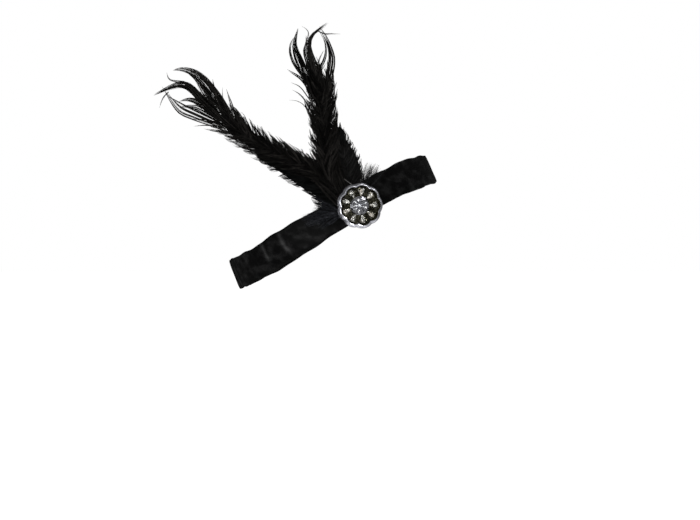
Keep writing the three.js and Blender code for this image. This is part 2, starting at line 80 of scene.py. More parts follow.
# %% [markdown]
# ## Sums on a material's values
#
# A material is a tree of nodes, and wiring it by hand hides the idea. This small class wraps one
# socket. Adding, multiplying and so on write the Math nodes, so that a finish reads as a formula.
# Colours and vectors go through Mix and Vector Math, because a Math node would turn them grey.

# %% Shader values
class Shade:
    """One value in a material, or an empty starting place for one."""

    def __init__(self, tree, socket=None):
        self.tree = tree
        self.socket = socket

    def add(self, kind, settings, inputs, output=0):
        """Adds a node of any kind: its settings first, then what goes into its sockets."""
        made = self.tree.nodes.new(kind)
        for key, value in settings.items():
            setattr(made, key, value)
        for key, value in inputs.items():
            if isinstance(value, Shade):
                self.tree.links.new(value.socket, made.inputs[key])
            else:
                made.inputs[key].default_value = value
        return Shade(self.tree, made.outputs[output]) if made.outputs else None

    def sum_of(self, operation, first, second):
        return self.add("ShaderNodeMath", {"operation": operation}, {0: first, 1: second})

    def __add__(self, other):
        return self.sum_of("ADD", self, other)

    def __radd__(self, other):
        return self.sum_of("ADD", other, self)

    def __mul__(self, other):
        return self.sum_of("MULTIPLY", self, other)

    def __rmul__(self, other):
        return self.sum_of("MULTIPLY", other, self)

    def ramp(self, low, high):
        """This value, eased from 0 at low to 1 at high."""
        inputs = {"Value": self, "From Min": low, "From Max": high}
        return self.add("ShaderNodeMapRange", {"interpolation_type": "SMOOTHSTEP"}, inputs)

    def mix(self, first, second):
        """A colour that goes from first to second as this value goes from 0 to 1."""
        return self.add("ShaderNodeMix", {"data_type": "RGBA"}, {0: self, 6: first, 7: second}, 2)


def place(canvas, stretch=(1, 1, 1)):
    """Where a point is on its piece, stretched as a texture needs it."""
    spot = canvas.add("ShaderNodeTexCoord", {}, {}, "Object")
    return canvas.add("ShaderNodeVectorMath", {"operation": "MULTIPLY"}, {0: spot, 1: stretch})


def noise(canvas, size, detail=3, stretch=(1, 1, 1)):
    """Cloudy values from 0 to 1, in patches about size metres across."""
    inputs = {"Vector": place(canvas, stretch), "Scale": 1 / size, "Detail": detail}
    return canvas.add("ShaderNodeTexNoise", {}, inputs)


def cells(canvas, size, output):
    """A patchwork of cells about size metres across: the distance, colour or place of each."""
    return canvas.add("ShaderNodeTexVoronoi", {}, {"Vector": place(canvas), "Scale": 1 / size}, output)


def painted(canvas, name):
    """A value that is kept in the mesh, point by point."""
    return canvas.add("ShaderNodeAttribute", {"attribute_name": name}, {}, "Fac")


def bump(canvas, height, depth):
    return canvas.add("ShaderNodeBump", {}, {"Height": height, "Distance": depth})


def material(name, finish):
    """finish gets an empty canvas and returns what goes into the surface's sockets."""
    made = bpy.data.materials.new(name)
    made.use_nodes = True
    made.node_tree.nodes.clear()
    canvas = Shade(made.node_tree)
    surface = canvas.add("ShaderNodeBsdfPrincipled", {}, finish(canvas))
    canvas.add("ShaderNodeOutputMaterial", {}, {"Surface": surface})
    return made


def grey(value, warmth=0.0):
    return (value * (1 + warmth), value, value * (1 - warmth), 1)


# %% [markdown]
# ## From numbers to a piece
#
# Every piece is a mesh made from arrays of points. One function turns the arrays into an object that
# rides on the part and hides the CAD nodes that it stands for.

# %% Pieces
def unit(vectors):
    return vectors / np.linalg.norm(vectors, axis=-1, keepdims=True)


def piece(name, shape, finish, replaced=(), smooth=True, values=None):
    points, faces = shape
    mesh = bpy.data.meshes.new(name)
    mesh.from_pydata(points.tolist(), [], faces)
    mesh.polygons.foreach_set("use_smooth", np.full(len(mesh.polygons), smooth))
    for key, numbers in (values or {}).items():
        mesh.attributes.new(key, "FLOAT", "POINT").data.foreach_set("value", numbers.astype(np.float32))
    mesh.materials.append(finish)
    mesh.validate()
    made = bpy.data.objects.new(name, mesh)
    bpy.context.scene.collection.objects.link(made)
    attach(made, "root")
    if replaced:
        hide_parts(*replaced)
    print(name, "faces:", len(mesh.polygons))
    return made


def grid_faces(rows, columns, closed_rows, closed_columns):
    """Four-cornered faces between the points of a grid that is kept row by row."""
    row_starts = np.arange(rows - (not closed_rows))
    column_starts = np.arange(columns - (not closed_columns))
    i, j = np.meshgrid(row_starts, column_starts, indexing="ij")
    up, right = (i + 1) % rows, (j + 1) % columns
    corners = [i * columns + j, i * columns + right, up * columns + right, up * columns + j]
    return np.stack(corners, -1).reshape(-1, 4).tolist()


# %% [markdown]
# ## The loop of the band
#
# The band is a flat strip that leans outwards at its top where it crosses the temples. Its middle
# line is an ellipse whose height rises from the back to the front. The same formula as in the CAD
# model is used, with the sizes named here, so that the cloth lies where the solid does.

# %% The band's middle line
LOOP_LENGTH = 170.5 * MM
LOOP_BREADTH = 149 * MM
LOOP_RISE = 92 * MM
RISE_BEND = 0.2
SIDE_ARCH = 1.4 * MM
LEFT_LIFT = 3 * MM
BAND_WIDTH = 27 * MM
FRONT_BAND_WIDTH = 25.4 * MM
BAND_WALL = 2.2 * MM
FRONT_LEAN = 24
BACK_LEAN = 21
SIDE_LEAN = 33
SIDE_TUCK = 9


def ease(value, low, high):
    share = np.clip((value - low) / (high - low), 0, 1)
    return share * share * (3 - 2 * share)


def band_frame(turn):
    """Middle, upward and outward directions. Turn 0 is the front, and negative turns the right side."""
    fore, side = np.cos(turn), np.sin(turn)
    left = np.maximum(0, side)
    rise = (1 + RISE_BEND) * fore - RISE_BEND * fore**3
    steepness = (1 + RISE_BEND) - 3 * RISE_BEND * fore**2
    lift = SIDE_ARCH * side**2 + LEFT_LIFT * left**2
    middle = np.stack([LOOP_LENGTH * fore, LOOP_BREADTH * side, LOOP_RISE * rise + 2 * lift], -1) / 2
    climb = -LOOP_RISE / 2 * steepness * side + 2 * (SIDE_ARCH * side + LEFT_LIFT * left) * fore
    along = unit(np.stack([-LOOP_LENGTH / 2 * side, LOOP_BREADTH / 2 * fore, climb], -1))
    end_lean = BACK_LEAN + (FRONT_LEAN - BACK_LEAN) * (1 + fore) / 2
    lean = np.radians(end_lean + (SIDE_LEAN - end_lean) * side**2)
    up = np.stack([-np.sin(lean), -side * math.sin(math.radians(SIDE_TUCK)), np.cos(lean)], -1)
    up = unit(up - along * np.sum(up * along, -1, keepdims=True))
    return middle, up, np.cross(along, up)


def round_the_band(steps=2000):
    middle, _, _ = band_frame(np.linspace(0, 2 * math.pi, steps))
    return float(np.linalg.norm(np.diff(middle, axis=0), axis=1).sum())


# Half of the way round as seen from above, which is what the creases are placed by
HALF_LOOP = math.pi * (LOOP_LENGTH + LOOP_BREADTH) / 4
BAND_LENGTH = round_the_band()
print("the band's own length in metres:", round(BAND_LENGTH, 3))

# %% [markdown]
# ## Folds in the cloth
#
# Stretch velvet is soft, so it creases where it is bent and gathers where it is sewn. The large
# creases are the CAD model's. The gathers at the back and the small ripples are added here, because
# they are too fine for a solid. So are one place where the cloth is pulled up and one where it is
# stretched a little wider, and the front is left about 2 mm wider than the solid's. A cloth
# simulation would have to be told about every one of them anyway, so each is a line in a table.

# %% Creases, gathers and waves
# pale is how much painted sheen, paler grey, the pressed pile gets, and low is where that ends, from 1 at
# the top edge to -1 below
Crease = namedtuple("Crease", "at slant half depth pale low")
CREASES = [
    Crease(at=0.035, slant=0.0, half=0.09, depth=0.28, pale=0.3, low=-1.5),
    Crease(at=0.065, slant=0.05, half=0.09, depth=0.24, pale=0.25, low=-1.5),
    Crease(at=0.1, slant=0.08, half=0.1, depth=0.22, pale=0.12, low=-1.5),
    Crease(at=0.185, slant=0.18, half=0.12, depth=0.26, pale=0.12, low=-0.8),
    Crease(at=0.275, slant=-0.07, half=0.11, depth=0.42, pale=0.6, low=-0.5),
    Crease(at=0.349, slant=0.11, half=0.12, depth=0.42, pale=0.9, low=-0.8),
    Crease(at=0.955, slant=0.0, half=0.14, depth=0.3, pale=0.15, low=-1.5),
]
# A wide painted sheen behind the brooch, where the band faces the camera and its pile is painted a little
# greyer
PAINTED_SHEEN_PATCH = Crease(at=0.46, slant=0.1, half=1.9, depth=0, pale=0.28, low=-1.5)
# How far the two edges move outwards, on the right side
Swell = namedtuple("Swell", "at half upper lower")
SWELLS = [
    Swell(at=0.37, half=0.09, upper=2.6 * MM, lower=-1.6 * MM),
    Swell(at=0.77, half=0.09, upper=1 * MM, lower=1.8 * MM),
]
Wave = namedtuple("Wave", "count start share")
UPPER_WAVES = [Wave(17, 1, 0.5), Wave(29, 0, 0.3)]
LOWER_WAVES = [Wave(15, 2, 0.5), Wave(26, 1, 0.3)]
RIPPLES = [Wave(37, 0.4, 0.6), Wave(61, 2.1, 0.25), Wave(83, 4.0, 0.15)]
EDGE_WAVE = 0.7 * MM
RIPPLE_DEPTH = 0.12 * MM
CREASE_WAVER = 0.5 * MM
# The painted sheen follows each crease in a narrower band, and fades out towards its lower end
SHEEN_NARROWING = 5
SHEEN_FADE = 0.7
GATHER_LENGTH = 18 * MM
GATHER_PITCH = 2.3 * MM
GATHER_DEPTH = 0.2 * MM
LAP_LENGTH = 14 * MM
LAP_STEP = 1.1 * MM
LAP_EDGE = 1 * MM
GATHER_FORE = (-0.6, -0.25)


def creases(turn, across):
    """How deep the creases are, and the painted sheen: how much paler the pile is coloured where a crease
    presses it flat.
    """
    at = 1 - np.abs(turn) / math.pi
    depth, pale = 0, 0
    for crease in [*CREASES, PAINTED_SHEEN_PATCH]:
        away = (at - crease.at) * HALF_LOOP + crease.slant * across / 2 * BAND_WIDTH
        near = np.exp(-((away / (crease.half * BAND_WIDTH)) ** 2)) * (turn < 0)
        # The painted sheen keeps to a narrower, wavering band along each crease
        wavered = away + CREASE_WAVER * np.sin(3 * across + 40 * crease.at)
        crushed_sheen = np.exp(-((wavered / (crease.half * BAND_WIDTH)) ** 2) * SHEEN_NARROWING) * (turn < 0)
        depth = depth + crease.depth * BAND_WALL * near
        pale = pale + crease.pale * crushed_sheen * ease(across, crease.low, crease.low + SHEEN_FADE)
    return depth, pale


def waves(table, turn):
    return sum(wave.share * np.sin(wave.count * turn + wave.start) for wave in table)


def swells(turn, across):
    at = 1 - np.abs(turn) / math.pi
    moved = 0
    for swell in SWELLS:
        near = np.exp(-(((at - swell.at) / swell.half) ** 2)) * (turn < 0)
        moved = moved + near * np.where(across > 0, swell.upper, -swell.lower) * np.abs(across)
    return moved


def gathers(turn, across):
    """Fine ribs across the band, drawn up by the seam at the back."""
    from_back = (math.pi - np.abs(turn)) / math.pi * HALF_LOOP
    fade = 1 - ease(from_back, 0.3 * GATHER_LENGTH, GATHER_LENGTH)
    return GATHER_DEPTH * fade * np.sin(2 * math.pi * from_back / GATHER_PITCH + 1.5 * across)


def half_width(turn):
    gathered = ease(np.cos(turn), *GATHER_FORE)
    return (BAND_WIDTH + (FRONT_BAND_WIDTH - BAND_WIDTH) * gathered) / 2


def lap_height(turn):
    from_back = (math.pi - np.abs(turn)) / math.pi * HALF_LOOP
    return LAP_STEP * ease(LAP_LENGTH / 2 - from_back, -LAP_EDGE, LAP_EDGE)


# %% [markdown]
# ## The velvet band
#
# The band could be a ribbon with a Solidify modifier, but then its edges would be sharp. Here a
# cross-section with soft edges is swept round the loop, with enough stations for every gather.

# %% The band's mesh
BAND_STATIONS = 900
BAND_COLUMNS = 22
EDGE_POWER = 3.33
FACE_POWER = 0.15


def cross_section():
    """Across and through, from -1 to 1, round a flat strip with soft edges."""
    across = np.sin(np.linspace(-math.pi / 2, math.pi / 2, BAND_COLUMNS + 1))
    through = (1 - np.abs(across) ** EDGE_POWER).clip(0) ** FACE_POWER
    outside = np.stack([across, through], -1)
    inside = np.stack([across, -through], -1)[-2:0:-1]
    return np.vstack([outside, inside])


def band_shape():
    turn = np.linspace(-math.pi, math.pi, BAND_STATIONS, endpoint=False)[:, None]
    across, through = cross_section().T[:, None, :]
    middle, up, out = (part[:, None, :] for part in band_frame(turn[:, 0]))
    depth, pale = creases(turn, across)
    along_edge = np.where(across > 0, waves(UPPER_WAVES, turn), waves(LOWER_WAVES, turn))
    edge = EDGE_WAVE * np.abs(across) * along_edge
    ripple = RIPPLE_DEPTH * waves(RIPPLES, turn + 0.05 * across) + gathers(turn, across)
    lap = lap_height(turn) * (through > 0)
    outward = BAND_WALL / 2 * through + lap - depth + ripple * (1 - across**4)
    sideways = half_width(turn) * across + edge + swells(turn, across)
    points = middle + up * sideways[..., None] + out * outward[..., None]
    # The painted sheen of the creases goes on the outer face only, kept in the mesh point by point
    values = {"pale": (pale * (through > 0) * (1 - across**6)).ravel()}
    rows, columns = sideways.shape
    return (points.reshape(-1, 3), grid_faces(rows, columns, True, True)), values


# %% [markdown]
# Velvet looks black from the front and greyer where it turns away or where the pile is pressed flat. Its
# gloss is therefore nearly off, and a sheen takes its place. Along the creases, and in a wide patch
# behind the brooch, that greyer sheen is painted: paler grey is put into the colour there. The pile is
# a very fine bump, and a slow cloudiness stands for the way that it has been stroked.

# %% Velvet
VELVET_DEEP = grey(0.0012)
VELVET_STROKED = grey(0.011)
# The paler grey painted where the creases press the pile flat, as a painted sheen
VELVET_CRUSHED_SHEEN = grey(0.03)
PILE_SIZE = 0.45 * MM
PILE_DEPTH = 0.25 * MM
STROKE_SIZE = 9 * MM


def velvet(canvas):
    pile = noise(canvas, PILE_SIZE, 4)
    stroked = noise(canvas, STROKE_SIZE, 4, (1, 1, 1.6)).ramp(0.4, 0.8)
    colour = (stroked * pile * 1.4).mix(VELVET_DEEP, VELVET_STROKED)
    # Painted sheen: the creases and the patch behind the brooch are made paler grey in the colour
    crushed_sheen = painted(canvas, "pale") * (0.1 + 0.7 * pile + 0.9 * stroked)
    return {
        "Base Color": crushed_sheen.mix(colour, VELVET_CRUSHED_SHEEN),
        "Roughness": 0.85 + 0.15 * stroked,
        "Specular IOR Level": 0.02,
        "Sheen Weight": 0.012,
        "Sheen Roughness": 0.45,
        "Sheen Tint": grey(0.8),
        "Normal": bump(canvas, pile, PILE_DEPTH),
    }


shape, band_values = band_shape()
band = piece("band_velvet", shape, material("velvet", velvet), ["band"], values=band_values)

# %% [markdown]
# ## Where the brooch stands
#
# The brooch and every feather are made in the brooch's own axes: x to the front, y up and z outwards.
# One function then takes finished points to their place on the band.

# %% The brooch's place
BROOCH_AT = 76.5
BROOCH_DROP = 3.7 * MM
BROOCH_RADIUS = 19.1 * MM
BROOCH_HEIGHT = 6.2 * MM
BROOCH_CLEARANCE = 0.55 * MM
LAYER_STEP = 1.5 * MM
TOP_LAYER = 2.7
ROOT_HALF_THICKNESS = 0.6 * MM
STANDOFF = TOP_LAYER * LAYER_STEP + ROOT_HALF_THICKNESS + BROOCH_CLEARANCE


def brooch_axes():
    middle, up, out = band_frame(np.array(-math.radians(BROOCH_AT)))
    level = unit(out * (1, 1, 0))
    top = np.array((0.0, 0.0, 1.0))
    start = middle + out * BAND_WALL / 2 - up * BROOCH_DROP
    return start, np.stack([np.cross(top, level), top, level])


ORNAMENT_START, ORNAMENT_AXES = brooch_axes()


def on_temple(points):
    return ORNAMENT_START + points @ ORNAMENT_AXES


print("brooch in millimetres:", np.round(ORNAMENT_START / MM, 1))

# %% [markdown]
# ## The silver cup
#
# The setting is one cast cup with nine lobes. It is a stack of scalloped rings, like a turned bowl
# whose outline is a flower. Rings are doubled near every corner, so that smooth shading leaves a
# small bright bevel there, as polishing does on plated metal. The real cup leans forward on its stem,
# which shows more of its sloping side at the rear. So the rings move forward a little as they rise,
# and they widen sooner below the rim than the CAD model's do.

# %% The cup's rings
LOBES = 9
LOBE_TURN = math.radians(3)
LOBE_SHARE = 0.4
RIM_WIDTH = 0.9 * MM
STEM_RADIUS = 3 * MM
SEAT_GAP = 0.3 * MM
RIM = RIM_WIDTH / BROOCH_RADIUS
STEM = STEM_RADIUS / BROOCH_RADIUS
BOSS_TOP = 0.34
BOSS_FOOT = 0.39
BOSS_HEIGHT = 0.6
BOSS_DOME = 0.02
BOSS_CENTRE = 0.1
CUP_FOOT = 0.9
CUP_MOUTH = 0.93
CUP_LEAN = 0.7 * MM
FLOOR_HEIGHT = 0.34
STEM_CLEARANCE = 1.5 * SEAT_GAP + STEM_RADIUS * math.tan(math.radians(SIDE_TUCK))
STEM_END = (STANDOFF - STEM_CLEARANCE) / BROOCH_HEIGHT
CUP_AROUND = LOBES * 20
Ring = namedtuple("Ring", "radius height lobes")
CUP_RINGS = [
    Ring(BOSS_CENTRE, BOSS_HEIGHT + BOSS_DOME, 0),
    Ring(BOSS_TOP, BOSS_HEIGHT, 0.2),
    Ring(BOSS_FOOT, FLOOR_HEIGHT, 0.4),
    Ring(CUP_FOOT - RIM, FLOOR_HEIGHT, 1),
    Ring(CUP_MOUTH - RIM, 0.98, 1),
    Ring(CUP_MOUTH - RIM / 2, 1, 0.95),
    Ring(CUP_MOUTH, 0.96, 0.9),
    Ring(0.975, 0.7, 0.75),
    Ring(1, 0.42, 0.6),
    Ring(1, 0.14, 0.6),
    Ring(0.99, 0, 0.6),
    Ring(STEM, 0, 0),
    Ring(STEM, -STEM_END, 0),
]
FOIL_BACK = FLOOR_HEIGHT + 0.01
FOIL_FACE = FLOOR_HEIGHT + 0.025
FOIL_TOP = 0.93
FOIL_HOLE = BOSS_FOOT + 0.015
FOIL_RINGS = [
    Ring(FOIL_HOLE, FOIL_BACK, 0.4),
    Ring(CUP_FOOT - RIM - 0.01, FOIL_BACK, 1),
    Ring(CUP_MOUTH - RIM - 0.006, FOIL_TOP, 1),
    Ring(CUP_MOUTH - RIM - 0.014, FOIL_TOP, 1),
    Ring(CUP_FOOT - RIM - 0.02, FOIL_FACE, 1),
    Ring(FOIL_HOLE, FOIL_FACE, 0.4),
]
# Where the extra rings lie, as shares of the way from each ring to the next
CORNER_SHARES = (0, 0.08, 0.5, 0.92)


def scallop(angle, depth):
    """How far out a lobed ring is at an angle, where 1 is the top of a lobe."""
    step = 2 * math.pi / LOBES
    off = (angle - LOBE_TURN + step / 2) % step - step / 2
    reach = 1 - LOBE_SHARE
    arc = reach * np.cos(off) + np.sqrt(LOBE_SHARE**2 - (reach * np.sin(off)) ** 2)
    return 1 + (arc - 1) * depth


def with_corners(rings):
    table = np.array(rings)
    rows = [a + (b - a) * share for a, b in zip(table, table[1:]) for share in CORNER_SHARES]
    return np.array([*rows, table[-1]])


def scalloped(rings):
    """Points of a stack of scalloped rings, ring by ring, in the brooch's axes."""
    angle = LOBE_TURN + np.linspace(0, 2 * math.pi, CUP_AROUND, endpoint=False)
    radius, height, lobes = with_corners(rings).T[:, :, None]
    far = radius * BROOCH_RADIUS * scallop(angle, lobes)
    tall = np.broadcast_to(STANDOFF + height * BROOCH_HEIGHT, far.shape)
    forward = CUP_LEAN * ease(height, 0, 1)
    return np.stack([far * np.cos(angle) + forward, far * np.sin(angle), tall], -1)


def cup_shape(rings, ends):
    """A skin over the rings: closed by two end faces, or else led back to the first ring."""
    points = scalloped(rings)
    rows, columns, _ = points.shape
    if ends:
        last = (rows - 1) * columns
        faces = grid_faces(rows, columns, False, True)
        faces += [list(range(columns))[::-1], list(range(last, last + columns))]
    else:
        points, rows = points[:-1], rows - 1
        faces = grid_faces(rows, columns, True, True)
    faces = [face[::-1] for face in faces]
    return on_temple(points.reshape(-1, 3)), faces


# %% [markdown]
# The plating is bright but handled: a faint cloudiness dulls it and fine scratches lie in it. Inside
# the lobes the metal is lined with dark olive foil, which is what gives the stones their smoky edge.

# %% Silver and foil
def silver(canvas):
    handled = noise(canvas, 2.5 * MM, 4).ramp(0.35, 0.75)
    scratches = noise(canvas, 0.4 * MM, 2, (1, 1, 0.12))
    return {
        "Base Color": handled.mix((0.85, 0.85, 0.91, 1), (0.42, 0.43, 0.48, 1)),
        "Metallic": 0.9,
        "Roughness": 0.09 + 0.2 * handled,
        "Normal": bump(canvas, scratches, 0.02 * MM),
    }


def foil(canvas):
    cloud = noise(canvas, 1.6 * MM, 3).ramp(0.35, 0.7)
    return {
        "Base Color": cloud.mix((0.014, 0.0135, 0.009, 1), (0.11, 0.105, 0.068, 1)),
        "Metallic": 0.7,
        "Roughness": 0.18 + 0.2 * cloud,
        "Normal": bump(canvas, noise(canvas, 0.7 * MM, 2), 0.12 * MM),
    }


silver_finish = material("silver_plate", silver)
piece("brooch_cup", cup_shape(CUP_RINGS, True), silver_finish, ["brooch_setting"])
piece("brooch_foil", cup_shape(FOIL_RINGS, False), material("olive_foil", foil))

# %% [markdown]
# ## The stones
#
# The CAD model already has every stone with its facets, and flat facets are right on a cut stone. So
# the stones stay, and get new finishes. Clear glass over foil throws light back like a small broken
# mirror. Real refraction would need very many light bounces, so the mirror is painted: a metal
# surface whose bump is a patchwork of tiny facets, and whose colour changes from facet to facet.

# %% Stone finishes
def cut_glass(bright, dark, tint, facet, mirror):
    """A foiled stone: facet is the size of its inner facets, and mirror how much they act as mirrors."""

    def finish(canvas):
        patch = cells(canvas, facet, "Color")
        tone = canvas.add("ShaderNodeSeparateColor", {}, {"Color": patch})
        # Painted reflections: each inner facet is painted bright or dark, as a glint or a dark reflection
        # would be
        colour = tone.ramp(0.3, 0.7).mix(dark, bright)
        warm = noise(canvas, 5 * MM, 1).ramp(0.45, 0.65)
        return {
            "Base Color": (warm * 0.5).mix(colour, tint),
            "Metallic": mirror,
            "Roughness": 0.04 + 0.08 * tone,
            "Coat Weight": 1.0,
            "Coat Roughness": 0.02,
            "Normal": bump(canvas, cells(canvas, facet, "Distance"), 0.8 * facet),
        }

    return finish


SMOKY = cut_glass((0.15, 0.145, 0.1, 1), (0.02, 0.02, 0.016, 1), (0.05, 0.03, 0.017, 1), 1.8 * MM, 0.8)
CREAM = cut_glass((0.8, 0.8, 0.75, 1), (0.08, 0.08, 0.07, 1), (0.52, 0.46, 0.38, 1), 1.3 * MM, 0.7)
CLEAR = cut_glass((0.97, 0.98, 1, 1), (0.012, 0.014, 0.018, 1), (0.65, 0.68, 0.72, 1), 1.4 * MM, 0.75)
clear_glass = material("clear_glass", CLEAR)
STONE_FINISHES = {
    "petal": material("smoky_glass", SMOKY),
    "drop": material("cream_glass", CREAM),
    "inner": clear_glass,
    "centre": clear_glass,
}
for name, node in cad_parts.items():
    if "_stone" in name:
        node.data.materials.clear()
        node.data.materials.append(STONE_FINISHES[name.split("_")[0]])

# %% [markdown]
# ## Barbs
#
# A feather is a quill with hundreds of barbs, and a curled plume shows nearly every one. Blender's
# hair could grow them, but here they are wanted as plain meshes. So a barb is a thin tapered tube
# with three sides, and one function makes thousands of them at once from arrays of lines.

# %% Tubes along many lines
OUTWARD = np.array((0.0, 0.0, 1.0))
BARB_SIDES = 3
# Keeps a direction from being divided by a length of nothing
TINY = 1e-12


def tubes(lines, radii, sides=BARB_SIDES):
    """Closed thin tubes. lines is count by steps by 3, and radii is count by steps."""
    count, steps, _ = lines.shape
    along = unit(np.gradient(lines, axis=1) + TINY)
    across = unit(np.cross(along, OUTWARD) + TINY)
    away = np.cross(across, along)
    angle = np.linspace(0, 2 * math.pi, sides, endpoint=False)
    ring = across[:, :, None] * np.cos(angle)[:, None] + away[:, :, None] * np.sin(angle)[:, None]
    points = lines[:, :, None] + ring * radii[:, :, None, None]
    each = np.array(grid_faces(steps, sides, False, True))
    faces = (each[None] + np.arange(count)[:, None, None] * steps * sides).reshape(-1, 4).tolist()
    for end, order in ((0, -1), (steps - 1, 1)):
        first = (np.arange(count) * steps + end) * sides
        faces += (first[:, None] + np.arange(sides)[::order]).tolist()
    return points.reshape(-1, 3), faces


def joined(shapes):
    points, faces, start = [], [], 0
    for some_points, some_faces in shapes:
        points.append(some_points)
        faces += [[corner + start for corner in face] for face in some_faces]
        start += len(some_points)
    return np.vstack(points), faces


# %% [markdown]
# ## Middle lines
#
# Each feather follows a middle line, given by a few rows. fore, up and out are shares of the
# feather's reach from its root, and wide and thick are shares of its full width and thickness. The
# rows of the plumes and the flat feathers are the CAD model's, and so is the curve through them, so
# the barbs keep the form of the solids that they replace.

# %% Spines
Row = namedtuple("Row", "fore up out wide thick")
Root = namedtuple("Root", "fore up layer reach")
ROOTS = {
    "front_plume": Root(-0.42, 0.26, 2.7, 147 * MM),
    "rear_plume": Root(-0.42, -0.26, 2.7, 190 * MM),
    "front_pad": Root(-0.24, 0.3, 1.7, 60 * MM),
    "rear_pad": Root(-0.36, 0.12, 0.7, 94 * MM),
    "front_tuft": Root(0.34, 0.66, 2.5, 24 * MM),
    "rear_tuft": Root(-0.72, -0.36, 2.7, 41 * MM),
}
PLUME_WIDTH = 23 * MM
PLUME_THICKNESS = 6 * MM
PAD_WIDTH = 27 * MM
PAD_THICKNESS = 1.1 * MM
LOCK_WIDTH = 4 * MM
LOCK_THICKNESS = 2.4 * MM
LINE_STEPS = 16


def smooth_line(points):
    """A centripetal curve through the points, with LINE_STEPS steps from each to the next."""
    ends = np.vstack([2 * points[0] - points[1], points, 2 * points[-1] - points[-2]])
    knots = np.sqrt(np.linalg.norm(np.diff(ends, axis=0), axis=1))
    t = np.linspace(0, 1, LINE_STEPS, endpoint=False)[:, None]
    parts = []
    for i in range(len(points) - 1):
        a, b, c, d = ends[i : i + 4]
        before, here, after = knots[i : i + 3]
        leave = here * ((b - a) / before - (c - a) / (before + here)) + c - b
        arrive = c - b - here * ((d - b) / (here + after) - (d - c) / after)
        bend = 3 * (c - b) - 2 * leave - arrive
        parts.append(b + leave * t + bend * t**2 + (2 * (b - c) + leave + arrive) * t**3)
    return np.vstack([*parts, points[-1:]])


class Spine:
    """A middle line with a width and a thickness, which can be asked for any distance along it."""

    def __init__(self, rows, root, width, thickness):
        start = np.array((root.fore * BROOCH_RADIUS, root.up * BROOCH_RADIUS, root.layer * LAYER_STEP))
        table = np.array(rows, float)
        line = smooth_line(start + table[:, :3] * root.reach)
        at = np.linspace(0, len(table) - 1, len(line))
        sizes = [np.interp(at, np.arange(len(table)), column) for column in table[:, 3:].T]
        self.rows = np.column_stack([line, sizes[0] * width / 2, sizes[1] * thickness / 2])
        self.along = unit(np.gradient(self.rows[:, :3], axis=0))
        steps = np.linalg.norm(np.diff(self.rows[:, :3], axis=0), axis=1)
        self.far = np.concatenate([[0], np.cumsum(steps)])
        self.length = self.far[-1]

    def row_far(self, row):
        """The distance along the line of a row of its table."""
        return np.interp(row * LINE_STEPS, np.arange(len(self.far)), self.far)

    def sampled(self, far, table):
        return np.stack([np.interp(far, self.far, column) for column in table.T], -1)

    def beside(self, far, aside, outward):
        """Points aside and outward of the line, in shares of its half width and half thickness."""
        rows = self.sampled(far, self.rows)
        along = unit(self.sampled(far, self.along))
        away = unit(OUTWARD - along * np.sum(along * OUTWARD, -1, keepdims=True))
        wide = np.cross(along, away) * rows[..., 3:4]
        thick = away * rows[..., 4:]
        return rows[..., :3] + wide * aside[..., None] + thick * outward[..., None]


# %% [markdown]
# ## How a vane grows
#
# Barbs leave the quill side by side, lean towards the tip, and cling together at their ends, so that
# the edge of a plume is a row of small points with gaps between them. Each clump therefore has one
# end place, and its barbs start a little apart along the quill.

# %% Clumps of barbs
BARB_STEPS = 8
BARB_ROOT = 0.2 * MM
BARB_TIP = 0.045 * MM
BARB_THICKNESSES = (0.75, 1.25)
TAPER_POWER = 2.6
CLUMP_LENGTHS = (0.7, 1.3)
CLUMP_LAYERS = (-0.9, 0.9)
CLUMP_CURLS = (-0.3, 1)
CLUMP_LEANS = (1, 1.9)
BARB_SCATTER = 0.3
CLING = 0.82
# spread and own say how wide a clump is at its foot: along the quill, and aside as a share of the vane
Vane = namedtuple("Vane", "clumps barbs first last length spread own edge loose curl")


def taper(count, steps, root, tip, rng):
    """Radii that stay nearly full for half of a barb, and then run out to its tip."""
    share = np.linspace(0, 1, steps)
    thick = rng.uniform(*BARB_THICKNESSES, (count, 1))
    return thick * (root + (tip - root) * share**TAPER_POWER)


def vane_barbs(spine, vane, rng):
    """Lines of barbs on both sides of a spine, clump by clump."""
    clumps, barbs = vane.clumps, vane.barbs
    side = np.where(np.arange(clumps) % 2, 1.0, -1.0)[:, None, None]
    low, high = spine.row_far(vane.first), spine.row_far(vane.last)
    start = low + (high - low) * (np.arange(clumps) + rng.uniform(0, 1, clumps)) / clumps
    length = vane.length * rng.uniform(*CLUMP_LENGTHS, clumps)
    edge = rng.uniform(*vane.edge, (clumps, 1, 1)) * side
    layer = rng.uniform(*CLUMP_LAYERS, (clumps, 1, 1))
    own = rng.uniform(-1, 1, (clumps, barbs))
    u = np.linspace(0, 1, BARB_STEPS)
    first = start[:, None] + vane.spread * own
    stray = vane.loose * rng.normal(0, 1, (clumps, barbs)) * length[:, None]
    last = (start + length)[:, None] + stray
    far = first[..., None] + (last - first)[..., None] * u
    leave = 1 - (1 - u) ** rng.uniform(*CLUMP_LEANS, (clumps, 1, 1))
    curl = vane.curl * rng.uniform(*CLUMP_CURLS, (clumps, 1, 1)) * side * u**3
    aside = edge * leave + vane.own * own[..., None] * (1 - CLING * u) + curl
    arch = np.sin(math.pi * (0.1 + 0.8 * u))
    outward = (layer + BARB_SCATTER * rng.normal(0, 1, (clumps, barbs, 1))) * arch
    return spine.beside(far, aside, outward).reshape(-1, BARB_STEPS, 3)


# %% [markdown]
# At the head of a plume the barbs are long and loose, and curl over in locks. A lock is a handful of
# strands that keep to its middle line, split into a few smaller bundles so that light shows between
# them, and that end one after another towards the tip.

# %% Locks of long strands
STRAND_STEPS = 14
STRAND_ROOT = 0.21 * MM
STRANDS_PER_MM = 13
STRAND_STARTS = (0, 0.1)
STRAND_ENDS = (0.55, 1)
BUNDLE_WIDTH = 1.3 * MM
BUNDLE_SCATTER = 0.6
LICK_TIP = 0.12
LICK_FLATNESS = 0.6
SWAY = 0.1
# A lick is one narrow lock. Its line gives fore and up, and out is where it starts and where it ends.
Lick = namedtuple("Lick", "width out line")


